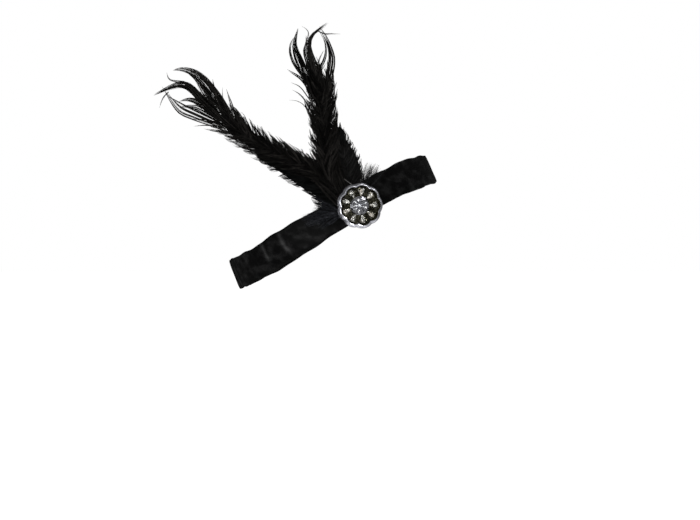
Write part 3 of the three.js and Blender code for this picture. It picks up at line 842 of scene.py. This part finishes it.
def lock_strands(spine, count, bundles, rng, loose=1.0):
    """Lines of strands in bundles side by side, which end one after another."""
    centre = rng.uniform(-0.8, 0.8, (bundles, 2))
    centre[:, 0] = (2 * np.arange(bundles) + 1) / bundles - 1
    mine = centre[rng.integers(0, bundles, count)]
    own = mine + rng.normal(0, BUNDLE_SCATTER / (bundles + 1), (count, 2))
    u = np.linspace(0, 1, STRAND_STEPS)
    first = spine.length * rng.uniform(*STRAND_STARTS, (count, 1))
    last = spine.length * rng.uniform(*STRAND_ENDS, (count, 1)) ** 0.5
    far = first + (last - first) * u
    turns = u * rng.uniform(0.5, 1.1, (count, 1)) + rng.uniform(0, 1, (count, 1))
    sway = SWAY * np.sin(2 * math.pi * turns)
    spread = loose * (0.8 + 0.35 * np.sin(math.pi * u))
    return spine.beside(far, own[:, :1] * spread + sway, own[:, 1:] * spread + sway[::-1])


def lick_strands(lick, root, rng):
    share = np.linspace(0, 1, len(lick.line))
    wide = 1 + (LICK_TIP - 1) * share**2.5
    out = lick.out[0] + (lick.out[1] - lick.out[0]) * share
    rows = [Row(fore, up, away, size, size) for (fore, up), away, size in zip(lick.line, out, wide)]
    spine = Spine(rows, root, lick.width * MM, lick.width * LICK_FLATNESS * MM)
    count = round(STRANDS_PER_MM * lick.width)
    return lock_strands(spine, count, max(1, round(lick.width * MM / BUNDLE_WIDTH)), rng)


def fuzz(lines, count, length, rng):
    """Short hairs that stand off the strands at random places."""
    strand = rng.integers(0, len(lines), count)
    at = rng.integers(1, lines.shape[1] - 2, count)
    start = lines[strand, at]
    along = unit(lines[strand, at + 1] - start + TINY)
    aside = np.cross(along, OUTWARD) * rng.choice([-1.0, 1.0], (count, 1))
    across = unit(aside + rng.normal(0, 0.3, (count, 3)))
    reach = length * rng.uniform(0.5, 1.3, (count, 1))
    middle = start + reach * (0.45 * along + 0.35 * across)
    end = start + reach * (along + 0.55 * across)
    return np.stack([start, middle, end], 1)


# %% [markdown]
# ## Feather finishes
#
# Black feathers are not quite black: some barbs are brown, some catch a grey light. Every strand
# carries its own tone in the mesh, and the finish mixes its colour from it. The gloss is low and the
# roughness high, because the barbules scatter light in all directions.

# %% Feather materials
def barb_material(name, deep, pale, speckle):
    """From deep to pale by the tone of each strand, dulled in patches about speckle metres across."""

    def finish(canvas):
        tone = painted(canvas, "tone")
        patch = noise(canvas, speckle, 3).ramp(0.35, 0.75)
        return {
            "Base Color": (tone * (0.4 + 0.6 * patch)).mix(deep, pale),
            "Roughness": 0.55 + 0.3 * patch,
            "Specular IOR Level": 0.04,
            "Normal": bump(canvas, noise(canvas, 0.15 * MM, 2), 0.03 * MM),
        }

    return material(name, finish)


PAD_GREEN_BLACK = (0.0006, 0.0009, 0.0007, 1)
plume_black = barb_material("plume_black", grey(0.0014, 0.08), grey(0.036, 0.08), 4 * MM)
front_pad_black = barb_material("pad_front_black", grey(0.0024), grey(0.022, 0.02), 3 * MM)
rear_pad_black = barb_material("pad_rear_black", PAD_GREEN_BLACK, grey(0.012, -0.03), 3 * MM)
down_grey = barb_material("down_grey", grey(0.003), grey(0.03, -0.04), 2 * MM)
horn = barb_material("horn", grey(0.06, 0.04), grey(0.14, 0.03), 2 * MM)

# %% [markdown]
# A feather piece is all its lines turned into tubes. Neighbouring strands share one tone, because it
# is whole clumps that catch the light, and a tone for each strand would blur to an even grey.

# %% Build one feather
Strands = namedtuple("Strands", "lines root tip")
STRANDS_PER_TONE = 8
TONE_POWER = 2.2
LEAF_STEPS = 60
LEAF_ENDS = (0.03, 0.97)
LEAF_THICKNESS = 0.3
QUILL_STEPS = 50
QUILL_ROOT = 0.5 * MM
QUILL_TIP = 0.15 * MM


def leaf(spine, share, first, last, columns=12):
    """A thin closed blade along the spine, which keeps light from passing through its middle."""
    far = np.linspace(spine.row_far(first), spine.row_far(last), LEAF_STEPS)[:, None]
    angle = np.linspace(0, 2 * math.pi, columns, endpoint=False)
    close = np.sin(math.pi * np.linspace(*LEAF_ENDS, LEAF_STEPS))[:, None] ** 0.4
    aside, outward = share * close * np.cos(angle), -LEAF_THICKNESS * close * np.sin(angle)
    points = spine.beside(far + 0 * angle, aside, outward)
    faces = grid_faces(LEAF_STEPS, columns, False, True)
    end = (LEAF_STEPS - 1) * columns
    faces += [list(range(columns))[::-1], list(range(end, end + columns))]
    return points.reshape(-1, 3), faces


def quill(spine, last_row):
    far = np.linspace(0, spine.row_far(last_row), QUILL_STEPS)[None]
    line = spine.beside(far, 0 * far, 0 * far)
    radii = QUILL_ROOT + (QUILL_TIP - QUILL_ROOT) * np.linspace(0, 1, QUILL_STEPS)[None]
    return tubes(line, radii, 6)


def feather(name, groups, solids, finish, replaced, rng):
    """One piece of all the strands and solids, with a tone kept at every point."""
    shapes, tones = [], []
    for lines, root, tip in groups:
        count, steps, _ = lines.shape
        shapes.append(tubes(lines, taper(count, steps, root, tip, rng)))
        shared = rng.uniform(0, 1, count // STRANDS_PER_TONE + 1) ** TONE_POWER
        each = np.repeat(shared, STRANDS_PER_TONE)[:count]
        tones.append(np.repeat(each, steps * BARB_SIDES))
    for solid in solids:
        shapes.append(solid)
        tones.append(np.zeros(len(solid[0])))
    points, faces = joined(shapes)
    values = {"tone": np.concatenate(tones)}
    return piece(name, (on_temple(points), faces), finish, [replaced], values=values)


# %% [markdown]
# ## The front plume
#
# It stands nearly upright. Its head opens into a left lock, a main hook that bends over to the
# front, and a loop on the right.

# %% Front plume rows
FRONT_PLUME = [
    Row(0, 0, 0, 0.06, 0.2),
    Row(-0.051, 0.04, 0, 0.09, 0.2),
    Row(-0.093, 0.079, 0.014, 0.3, 0.26),
    Row(-0.128, 0.136, 0.028, 0.62, 0.44),
    Row(-0.146, 0.323, 0.034, 0.86, 1),
    Row(-0.154, 0.487, 0.036, 0.86, 1),
    Row(-0.166, 0.648, 0.038, 0.76, 0.9),
    Row(-0.194, 0.731, 0.036, 0.5, 0.7),
    Row(-0.222, 0.824, 0.04, 0.26, 0.5),
    Row(-0.23, 0.882, 0.046, 0.2, 0.42),
    Row(-0.208, 0.932, 0.05, 0.16, 0.36),
    Row(-0.172, 0.964, 0.056, 0.12, 0.3),
    Row(-0.129, 0.997, 0.06, 0.04, 0.12),
]

# %% [markdown]
# A lock in the CAD model is one smooth finger. A real one is several narrow licks that part and meet
# again, so each lock is drawn here as the licks that make it up, and short spurs stand off the sides.

# %% Front plume licks
FRONT_LICKS = [
    # The left lock, with a thin lick outside it and a short one inside
    Lick(6.5, (0.042, 0.056), [
        (-0.2, 0.55), (-0.265, 0.73), (-0.3, 0.81), (-0.315, 0.87), (-0.295, 0.965)]),
    Lick(2.6, (0.046, 0.058), [
        (-0.23, 0.64), (-0.32, 0.77), (-0.34, 0.83), (-0.335, 0.88), (-0.31, 0.92)]),
    Lick(4.2, (0.036, 0.03), [
        (-0.19, 0.62), (-0.24, 0.78), (-0.255, 0.84), (-0.245, 0.89), (-0.25, 0.93)]),
    # The hook, a wisp that branches off above it and one off its tip
    Lick(3.7, (0.042, 0.05), [
        (-0.18, 0.6), (-0.22, 0.79), (-0.235, 0.85), (-0.23, 0.9), (-0.2, 0.94),
        (-0.16, 0.965), (-0.12, 0.995)]),
    Lick(0.8, (0.036, 0.03), [(-0.25, 0.88), (-0.235, 0.94), (-0.245, 0.96), (-0.275, 0.98)]),
    Lick(1.2, (0.052, 0.044), [(-0.185, 0.95), (-0.145, 0.935), (-0.11, 0.935), (-0.055, 0.935)]),
    # The loop on the right, from the outside inwards
    Lick(3.2, (0.036, 0.032), [
        (-0.145, 0.57), (-0.102, 0.72), (-0.094, 0.8), (-0.113, 0.868), (-0.135, 0.92), (-0.175, 0.98)]),
    Lick(2.4, (0.034, 0.026), [
        (-0.16, 0.6), (-0.122, 0.74), (-0.115, 0.82), (-0.13, 0.885), (-0.17, 0.96)]),
    Lick(2.2, (0.044, 0.054), [
        (-0.185, 0.64), (-0.18, 0.72), (-0.15, 0.78), (-0.138, 0.83), (-0.143, 0.885), (-0.175, 0.95)]),
    Lick(2.2, (0.04, 0.046), [(-0.185, 0.64), (-0.184, 0.74), (-0.175, 0.79), (-0.148, 0.845)]),
    Lick(1.8, (0.04, 0.046), [(-0.175, 0.64), (-0.165, 0.72), (-0.135, 0.77)]),
    Lick(4.6, (0.036, 0.03), [(-0.15, 0.48), (-0.115, 0.62), (-0.1, 0.7), (-0.105, 0.765)]),
    Lick(3.6, (0.04, 0.04), [(-0.16, 0.54), (-0.135, 0.66), (-0.125, 0.73), (-0.13, 0.79)]),
    # Spurs and wisps on the left side
    Lick(3.0, (0.034, 0.022), [(-0.19, 0.55), (-0.27, 0.675), (-0.325, 0.715), (-0.355, 0.735)]),
    Lick(1.0, (0.036, 0.04), [(-0.22, 0.55), (-0.285, 0.635), (-0.335, 0.66)]),
    Lick(1.6, (0.032, 0.026), [(-0.21, 0.49), (-0.27, 0.58), (-0.3, 0.605), (-0.33, 0.62)]),
    Lick(0.8, (0.038, 0.044), [(-0.21, 0.45), (-0.265, 0.535), (-0.3, 0.555), (-0.35, 0.56)]),
    Lick(4.0, (0.036, 0.038), [(-0.17, 0.34), (-0.22, 0.475), (-0.245, 0.525), (-0.26, 0.565)]),
    Lick(2.2, (0.03, 0.028), [(-0.17, 0.38), (-0.2, 0.515), (-0.23, 0.55), (-0.255, 0.57)]),
    # Spurs on the right side
    Lick(3.4, (0.036, 0.03), [(-0.15, 0.43), (-0.1, 0.6), (-0.073, 0.67)]),
    Lick(3.0, (0.03, 0.026), [(-0.14, 0.38), (-0.09, 0.55), (-0.07, 0.63)]),
    Lick(3.6, (0.038, 0.044), [(-0.13, 0.3), (-0.08, 0.455), (-0.075, 0.525)]),
    Lick(3.4, (0.034, 0.03), [(-0.12, 0.2), (-0.08, 0.36), (-0.07, 0.45)]),
    # The close barbs about the root
    Lick(8.0, (0.0, 0.02), [(-0.01, -0.02), (-0.08, 0.12), (-0.12, 0.34)]),
    Lick(6.0, (0.0, 0.01), [(0.01, 0.0), (-0.05, 0.15), (-0.085, 0.34)]),
]

# %% [markdown]
# ## The rear plume
#
# It is the longer of the two and leans far back. Its tip hooks down, with one lock above the hook,
# one that comes back below it, and a row of single spikes along its upper edge.

# %% Rear plume rows and licks
REAR_PLUME = [
    Row(0, 0, 0, 0.06, 0.2),
    Row(-0.035, 0.031, 0, 0.1, 0.2),
    Row(-0.088, 0.092, 0, 0.3, 0.2),
    Row(-0.143, 0.165, 0.001, 0.56, 0.28),
    Row(-0.242, 0.222, 0.012, 0.72, 0.8),
    Row(-0.349, 0.268, 0.016, 0.8, 1),
    Row(-0.492, 0.358, 0.01, 0.84, 1),
    Row(-0.582, 0.438, -0.002, 0.78, 0.9),
    Row(-0.663, 0.51, -0.02, 0.44, 0.7),
    Row(-0.729, 0.55, -0.036, 0.22, 0.5),
    Row(-0.766, 0.55, -0.046, 0.17, 0.4),
    Row(-0.813, 0.53, -0.056, 0.12, 0.3),
    Row(-0.857, 0.511, -0.062, 0.04, 0.12),
]
REAR_LICKS = [
    # The lock above the hook
    Lick(7.5, (-0.012, -0.05), [
        (-0.52, 0.4), (-0.605, 0.53), (-0.64, 0.575), (-0.685, 0.61), (-0.735, 0.625), (-0.775, 0.62)]),
    Lick(3.6, (-0.012, -0.04), [
        (-0.57, 0.42), (-0.645, 0.535), (-0.667, 0.575), (-0.695, 0.6), (-0.725, 0.62)]),
    Lick(4.4, (-0.01, -0.034), [
        (-0.51, 0.41), (-0.6, 0.54), (-0.635, 0.58), (-0.66, 0.605), (-0.685, 0.62)]),
    # The hook, with a thin lick that turns up and one that turns down
    Lick(5.6, (-0.014, -0.06), [
        (-0.56, 0.4), (-0.67, 0.515), (-0.705, 0.55), (-0.745, 0.558), (-0.785, 0.547),
        (-0.815, 0.535), (-0.853, 0.516)]),
    Lick(2.6, (-0.02, -0.036), [
        (-0.6, 0.44), (-0.69, 0.543), (-0.723, 0.565), (-0.76, 0.57), (-0.79, 0.58), (-0.8, 0.61)]),
    Lick(1.3, (-0.05, -0.056), [(-0.79, 0.527), (-0.815, 0.5), (-0.833, 0.456)]),
    # The lock that comes back below the hook, in three licks, and two short ones inside it
    Lick(3.0, (-0.004, -0.044), [
        (-0.54, 0.355), (-0.68, 0.406), (-0.742, 0.434), (-0.778, 0.478), (-0.803, 0.52), (-0.822, 0.55)]),
    Lick(2.2, (-0.006, -0.04), [
        (-0.55, 0.37), (-0.68, 0.426), (-0.735, 0.453), (-0.77, 0.487), (-0.8, 0.527)]),
    Lick(1.8, (-0.008, -0.04), [
        (-0.57, 0.39), (-0.705, 0.455), (-0.755, 0.482), (-0.789, 0.502), (-0.811, 0.53)]),
    Lick(5.0, (-0.01, -0.03), [(-0.56, 0.4), (-0.667, 0.478), (-0.705, 0.49), (-0.745, 0.483)]),
    Lick(4.2, (-0.008, -0.024), [(-0.56, 0.39), (-0.672, 0.455), (-0.71, 0.46), (-0.745, 0.457)]),
    # Spikes along the upper edge
    Lick(3.2, (-0.004, -0.01), [(-0.53, 0.38), (-0.578, 0.48), (-0.592, 0.535), (-0.6, 0.58)]),
    Lick(1.6, (0.0, -0.004), [(-0.52, 0.38), (-0.554, 0.49), (-0.557, 0.546)]),
    Lick(2.4, (0.002, 0.0), [(-0.48, 0.36), (-0.522, 0.48), (-0.54, 0.535)]),
    Lick(4.2, (0.006, 0.008), [(-0.44, 0.34), (-0.5, 0.44), (-0.53, 0.47)]),
    Lick(2.2, (0.012, 0.014), [(-0.37, 0.29), (-0.4, 0.355), (-0.405, 0.38)]),
    # Level wisps along the lower edge
    Lick(2.0, (0.0, -0.006), [(-0.49, 0.34), (-0.6, 0.355), (-0.64, 0.362)]),
    Lick(1.2, (-0.004, -0.012), [(-0.54, 0.37), (-0.64, 0.376), (-0.683, 0.372)]),
    Lick(2.4, (-0.004, -0.008), [(-0.55, 0.38), (-0.633, 0.398), (-0.69, 0.405)]),
    # The close barbs about the root
    Lick(9.0, (0.0, 0.004), [(0.0, 0.0), (-0.1, 0.1), (-0.2, 0.18)]),
]

# %% [markdown]
# Both plumes are grown the same way. The inner barbs fill the body, the edge barbs draw its ragged
# outline, and a few spikes stand off it. The licks come last, with a little fuzz on them.

# %% Grow the plumes
PLUME_VANES = [
    Vane(clumps=120, barbs=8, first=1.2, last=6, length=20 * MM, spread=1.5 * MM, own=0.2,
         edge=(0.3, 0.9), loose=0.06, curl=0.0),
    Vane(clumps=92, barbs=10, first=2, last=6.1, length=17 * MM, spread=1.2 * MM, own=0.14,
         edge=(0.95, 1.22), loose=0.05, curl=0.06),
    Vane(clumps=32, barbs=6, first=3, last=6.4, length=16 * MM, spread=0.8 * MM, own=0.07,
         edge=(1.2, 1.42), loose=0.06, curl=0.06),
]
HEAD_ROW = 5
HEAD_STRANDS = 90
HEAD_BUNDLES = 7
HEAD_SPREAD = 0.55
FUZZ_PER_STRAND = 0.7
FUZZ_LENGTH = 1.6 * MM
FUZZ_ROOT = 0.05 * MM
FUZZ_TIP = 0.015 * MM
PLUME_LEAF_SHARE = 0.62
PLUME_LEAF_ROWS = (1.4, 6.8)
PLUME_QUILL_END = 11


def plume(name, rows, licks, root, seed):
    rng = np.random.default_rng(seed)
    spine = Spine(rows, root, PLUME_WIDTH, PLUME_THICKNESS)
    groups = [Strands(vane_barbs(spine, vane, rng), BARB_ROOT, BARB_TIP) for vane in PLUME_VANES]
    head = Spine(rows[HEAD_ROW:], root, PLUME_WIDTH, PLUME_THICKNESS)
    strands = [lock_strands(head, HEAD_STRANDS, HEAD_BUNDLES, rng, HEAD_SPREAD)]
    strands += [lick_strands(lick, root, rng) for lick in licks]
    for lines in strands:
        groups.append(Strands(lines, STRAND_ROOT, BARB_TIP))
        hairs = fuzz(lines, round(FUZZ_PER_STRAND * len(lines)), FUZZ_LENGTH, rng)
        groups.append(Strands(hairs, FUZZ_ROOT, FUZZ_TIP))
    solids = [leaf(spine, PLUME_LEAF_SHARE, *PLUME_LEAF_ROWS), quill(spine, PLUME_QUILL_END)]
    return feather(name, groups, solids, plume_black, name.replace("_barbs", ""), rng)


plume("plume_front_barbs", FRONT_PLUME, FRONT_LICKS, ROOTS["front_plume"], 11)
plume("plume_rear_barbs", REAR_PLUME, REAR_LICKS, ROOTS["rear_plume"], 23)

# %% [markdown]
# ## The flat feathers
#
# Behind the plumes lie two broad, flat feathers whose barbs still hold together, so they are the
# blackest part. A solid blade carries them, and dense barbs give them their grain and their frayed
# edge.

# %% Flat feathers
FRONT_PAD = [
    Row(0, 0, 0, 0.06, 1),
    Row(-0.02, 0.1, 0, 0.45, 1),
    Row(-0.07, 0.3, 0, 0.98, 1),
    Row(-0.13, 0.53, 0, 0.94, 1),
    Row(-0.18, 0.75, 0, 0.72, 1),
    Row(-0.2, 0.92, 0, 0.4, 1),
    Row(-0.21, 1, 0, 0.08, 0.6),
]
REAR_PAD = [
    Row(0, 0, 0, 0.06, 1),
    Row(-0.08, 0.05, 0, 0.5, 1),
    Row(-0.22, 0.15, 0, 0.96, 1),
    Row(-0.43, 0.285, 0, 0.98, 1),
    Row(-0.62, 0.38, 0, 0.86, 1),
    Row(-0.78, 0.45, 0, 0.56, 1),
    Row(-0.86, 0.48, 0, 0.14, 0.6),
]
PAD_VANES = [
    Vane(clumps=120, barbs=9, first=0.2, last=5.2, length=12 * MM, spread=1.2 * MM, own=0.08,
         edge=(0.85, 1.12), loose=0.05, curl=0.04),
    Vane(clumps=110, barbs=9, first=0.1, last=5.2, length=13 * MM, spread=1.6 * MM, own=0.12,
         edge=(0.2, 0.85), loose=0.05, curl=0.0),
]
PAD_LEAF_SHARE = 0.88
PAD_LEAF_ROWS = (0, 5.2)
PAD_LEAF_COLUMNS = 16
PAD_QUILL_END = 5.5
# Loose barbs: at the front feather's tip and lower right, and along both edges of the rear feather
FRONT_PAD_LICKS = [
    Lick(4.5, (0.0, 0.02), [(-0.17, 0.75), (-0.185, 0.92), (-0.19, 1.07)]),
    Lick(3.0, (0.0, 0.03), [(-0.13, 0.72), (-0.15, 0.88), (-0.135, 1.0)]),
    Lick(3.0, (0.0, 0.02), [(-0.2, 0.7), (-0.225, 0.87), (-0.235, 1.0)]),
    Lick(6.0, (0.0, 0.02), [(0.0, 0.02), (0.09, 0.16), (0.15, 0.3)]),
    Lick(6.0, (0.0, 0.02), [(-0.01, 0.08), (0.07, 0.25), (0.125, 0.39)]),
    Lick(5.0, (0.0, 0.02), [(-0.03, 0.18), (0.04, 0.36), (0.085, 0.5)]),
]
REAR_PAD_LICKS = [
    Lick(7.0, (0.0, 0.0), [(-0.47, 0.32), (-0.59, 0.44), (-0.69, 0.54)]),
    Lick(7.0, (0.0, 0.0), [(-0.42, 0.3), (-0.54, 0.43), (-0.645, 0.57)]),
    Lick(7.0, (0.0, 0.0), [(-0.37, 0.28), (-0.49, 0.42), (-0.6, 0.555)]),
    Lick(6.0, (0.0, 0.0), [(-0.32, 0.25), (-0.44, 0.38), (-0.55, 0.5)]),
    Lick(6.0, (0.0, 0.0), [(-0.27, 0.21), (-0.38, 0.34), (-0.48, 0.47)]),
    Lick(6.0, (0.0, 0.0), [(-0.2, 0.15), (-0.3, 0.28), (-0.385, 0.405)]),
    Lick(8.0, (0.02, 0.02), [(-0.05, 0.04), (-0.2, 0.03), (-0.31, 0.04)]),
    Lick(6.0, (0.02, 0.02), [(-0.25, 0.15), (-0.38, 0.14), (-0.5, 0.19)]),
    Lick(7.0, (0.02, 0.02), [(-0.14, 0.09), (-0.3, 0.08), (-0.43, 0.11)]),
    Lick(7.0, (0.02, 0.02), [(-0.08, 0.06), (-0.22, 0.03), (-0.36, 0.05)]),
    Lick(7.0, (0.02, 0.02), [(-0.04, 0.02), (-0.18, -0.02), (-0.33, 0.0)]),
    Lick(6.0, (0.02, 0.02), [(-0.03, -0.03), (-0.15, -0.05), (-0.3, -0.05)]),
]


def flat_feather(name, rows, licks, root, finish, seed):
    rng = np.random.default_rng(seed)
    spine = Spine(rows, root, PAD_WIDTH, PAD_THICKNESS)
    groups = [Strands(vane_barbs(spine, vane, rng), BARB_ROOT, BARB_TIP) for vane in PAD_VANES]
    groups += [Strands(lick_strands(lick, root, rng), STRAND_ROOT, BARB_TIP) for lick in licks]
    blade = leaf(spine, PAD_LEAF_SHARE, *PAD_LEAF_ROWS, PAD_LEAF_COLUMNS)
    solids = [blade, quill(spine, PAD_QUILL_END)]
    return feather(name, groups, solids, finish, name.replace("_barbs", ""), rng)


front_root, rear_root = ROOTS["front_pad"], ROOTS["rear_pad"]
flat_feather("pad_feather_front_barbs", FRONT_PAD, FRONT_PAD_LICKS, front_root, front_pad_black, 5)
flat_feather("pad_feather_rear_barbs", REAR_PAD, REAR_PAD_LICKS, rear_root, rear_pad_black, 7)

# %% [markdown]
# ## The down
#
# Down has no vane at all. Its hairs are so thin that white shows through and the tuft looks grey. They
# spread at a wisp's tip instead of closing to a point, as the CAD model's solid wisps do. The front
# tuft keeps those wisps. The rear tuft is denser, and its wisps lie lower, flat on the band.

# %% Down tufts
Wisp = namedtuple("Wisp", "fore up out bend")
FRONT_TUFT = [
    Wisp(-0.1, 0.6, 0, 0.06),
    Wisp(0.12, 1, 0.04, 0.08),
    Wisp(0.36, 0.94, 0.02, 0.06),
    Wisp(0.56, 0.72, 0.06, 0.05),
]
REAR_TUFT = [
    Wisp(-0.64, 0.34, 0, 0.06),
    Wisp(-0.62, 0.12, 0.02, 0.05),
    Wisp(-0.86, -0.1, 0.04, -0.02),
    Wisp(-0.8, -0.24, 0.05, -0.05),
    Wisp(-0.5, -0.3, 0.04, -0.08),
]
DOWN_BUNDLES = 7
DOWN_SPREAD = 1.3
DOWN_TIP = 0.02 * MM
DOWN_FUZZ_PER_HAIR = 5
DOWN_FUZZ_LENGTH = 2 * MM
DOWN_FUZZ_ROOT = 0.035 * MM
DOWN_FUZZ_TIP = 0.01 * MM


def down_tuft(name, wisps, root, hairs, hair_radius, finish, seed):
    rng = np.random.default_rng(seed)
    groups = []
    for fore, up, out, bend in wisps:
        rows = [
            Row(0, 0, 0, 0.5, 0.5),
            Row(fore / 2 - up * bend, up / 2 + fore * bend, out / 2, 1.4, 0.8),
            Row(fore, up, out, 1.2, 0.6),
        ]
        wisp = Spine(rows, root, LOCK_WIDTH, LOCK_THICKNESS)
        lines = lock_strands(wisp, hairs, DOWN_BUNDLES, rng, DOWN_SPREAD)
        down = fuzz(lines, DOWN_FUZZ_PER_HAIR * hairs, DOWN_FUZZ_LENGTH, rng)
        groups.append(Strands(lines, hair_radius, DOWN_TIP))
        groups.append(Strands(down, DOWN_FUZZ_ROOT, DOWN_FUZZ_TIP))
    return feather(name, groups, [], finish, name.replace("_hairs", ""), rng)


down_black = barb_material("down_black", (0.001, 0.0012, 0.0016, 1), (0.07, 0.073, 0.085, 1), 2 * MM)
down_tuft("down_tuft_front_hairs", FRONT_TUFT, ROOTS["front_tuft"], 64, 0.11 * MM, down_grey, 3)
down_tuft("down_tuft_rear_hairs", REAR_TUFT, ROOTS["rear_tuft"], 110, 0.13 * MM, down_black, 4)

# %% [markdown]
# ## A cut quill
#
# Where the feathers were trimmed and glued behind the brooch, the end of one quill still shows beside
# the rim. It is a short, pale tube of horn, which starts behind the cup among the other roots.

# %% Quill stub
STUB_INSIDE = (-0.28, 0.89)
STUB_OUTSIDE = (-0.673, 1.164)
STUB_DEPTHS = (5 * MM, 7.8 * MM)
STUB_RADII = (0.32 * MM, 0.12 * MM)
STUB_TONE = 0.6


def quill_stub():
    ends = [(*share, 0) for share in (STUB_INSIDE, STUB_OUTSIDE)]
    start, end = np.array(ends) * BROOCH_RADIUS + np.array([(0, 0, depth) for depth in STUB_DEPTHS])
    share = np.linspace(0, 1, 9)[:, None]
    line = start + (end - start) * share
    points, faces = tubes(line[None], np.interp(share[:, 0], (0, 1), STUB_RADII)[None], 8)
    values = {"tone": np.full(len(points), STUB_TONE)}
    return piece("quill_stub", (on_temple(points), faces), horn, values=values)


quill_stub()

# %% [markdown]
# ## Floor, light and background
#
# The part is shown against plain white. The world is white for the camera alone, and softly graded
# for everything else: dark at eye level, and middling above and below. The cut stones and the silver
# need both light and dark to reflect, so the floor is kept out of reflections and a wide lamp at the
# left takes the place of a white card.

# %% Stage
STAGE_LEVEL = -263 * MM
STAGE_REACH = 30
STAGE_CORNERS = ((-1, -1), (1, -1), (1, 1), (-1, 1))


def floor_finish(canvas):
    soft = noise(canvas, 0.4, 2)
    return {
        "Base Color": soft.mix(grey(0.86), grey(0.9)),
        "Roughness": 0.9,
        "Emission Color": grey(1),
        "Emission Strength": 0.75,
    }


def make_floor():
    mesh = bpy.data.meshes.new("floor")
    corners = [(x * STAGE_REACH, y * STAGE_REACH, STAGE_LEVEL) for x, y in STAGE_CORNERS]
    mesh.from_pydata(corners, [], [(0, 1, 2, 3)])
    mesh.materials.append(material("pale_floor", floor_finish))
    floor = bpy.data.objects.new("floor", mesh)
    floor.visible_glossy = False
    bpy.context.scene.collection.objects.link(floor)


def make_world():
    world = bpy.data.worlds.new("studio")
    bpy.context.scene.world = world
    world.use_nodes = True
    world.node_tree.nodes.clear()
    canvas = Shade(world.node_tree)
    direction = canvas.add("ShaderNodeTexCoord", {}, {}, "Generated")
    height = canvas.add("ShaderNodeSeparateXYZ", {}, {"Vector": direction}, "Z")
    above = height.ramp(0.1, 0.8).mix(grey(0.07), grey(0.5))
    graded = height.ramp(-0.3, -0.9).mix(above, grey(0.75))
    seen = canvas.add("ShaderNodeLightPath", {}, {}, "Is Camera Ray")
    colour = seen.mix(graded, grey(1))
    background = canvas.add("ShaderNodeBackground", {}, {"Color": colour, "Strength": 1.0})
    canvas.add("ShaderNodeOutputWorld", {}, {"Surface": background})


Lamp = namedtuple("Lamp", "name place size power")
LAMPS = [
    Lamp("key", (0.5, -0.9, 0.75), 0.5, 9),
    Lamp("fill", (-0.9, -0.8, -0.1), 0.5, 4),
    Lamp("top", (0.15, 0.1, 1.1), 0.5, 4),
    Lamp("card", (-1.3, -0.35, 0.3), 1.2, 6.5),
]


def make_lamp(lamp):
    data = bpy.data.lights.new(lamp.name, "AREA")
    data.size = lamp.size
    data.energy = lamp.power
    made = bpy.data.objects.new(lamp.name, data)
    made.location = lamp.place
    towards = -made.location
    made.rotation_euler = towards.to_track_quat("-Z", "Y").to_euler()
    bpy.context.scene.collection.objects.link(made)


make_floor()
make_world()
for lamp in LAMPS:
    make_lamp(lamp)
bpy.context.scene.view_settings.view_transform = "Standard"
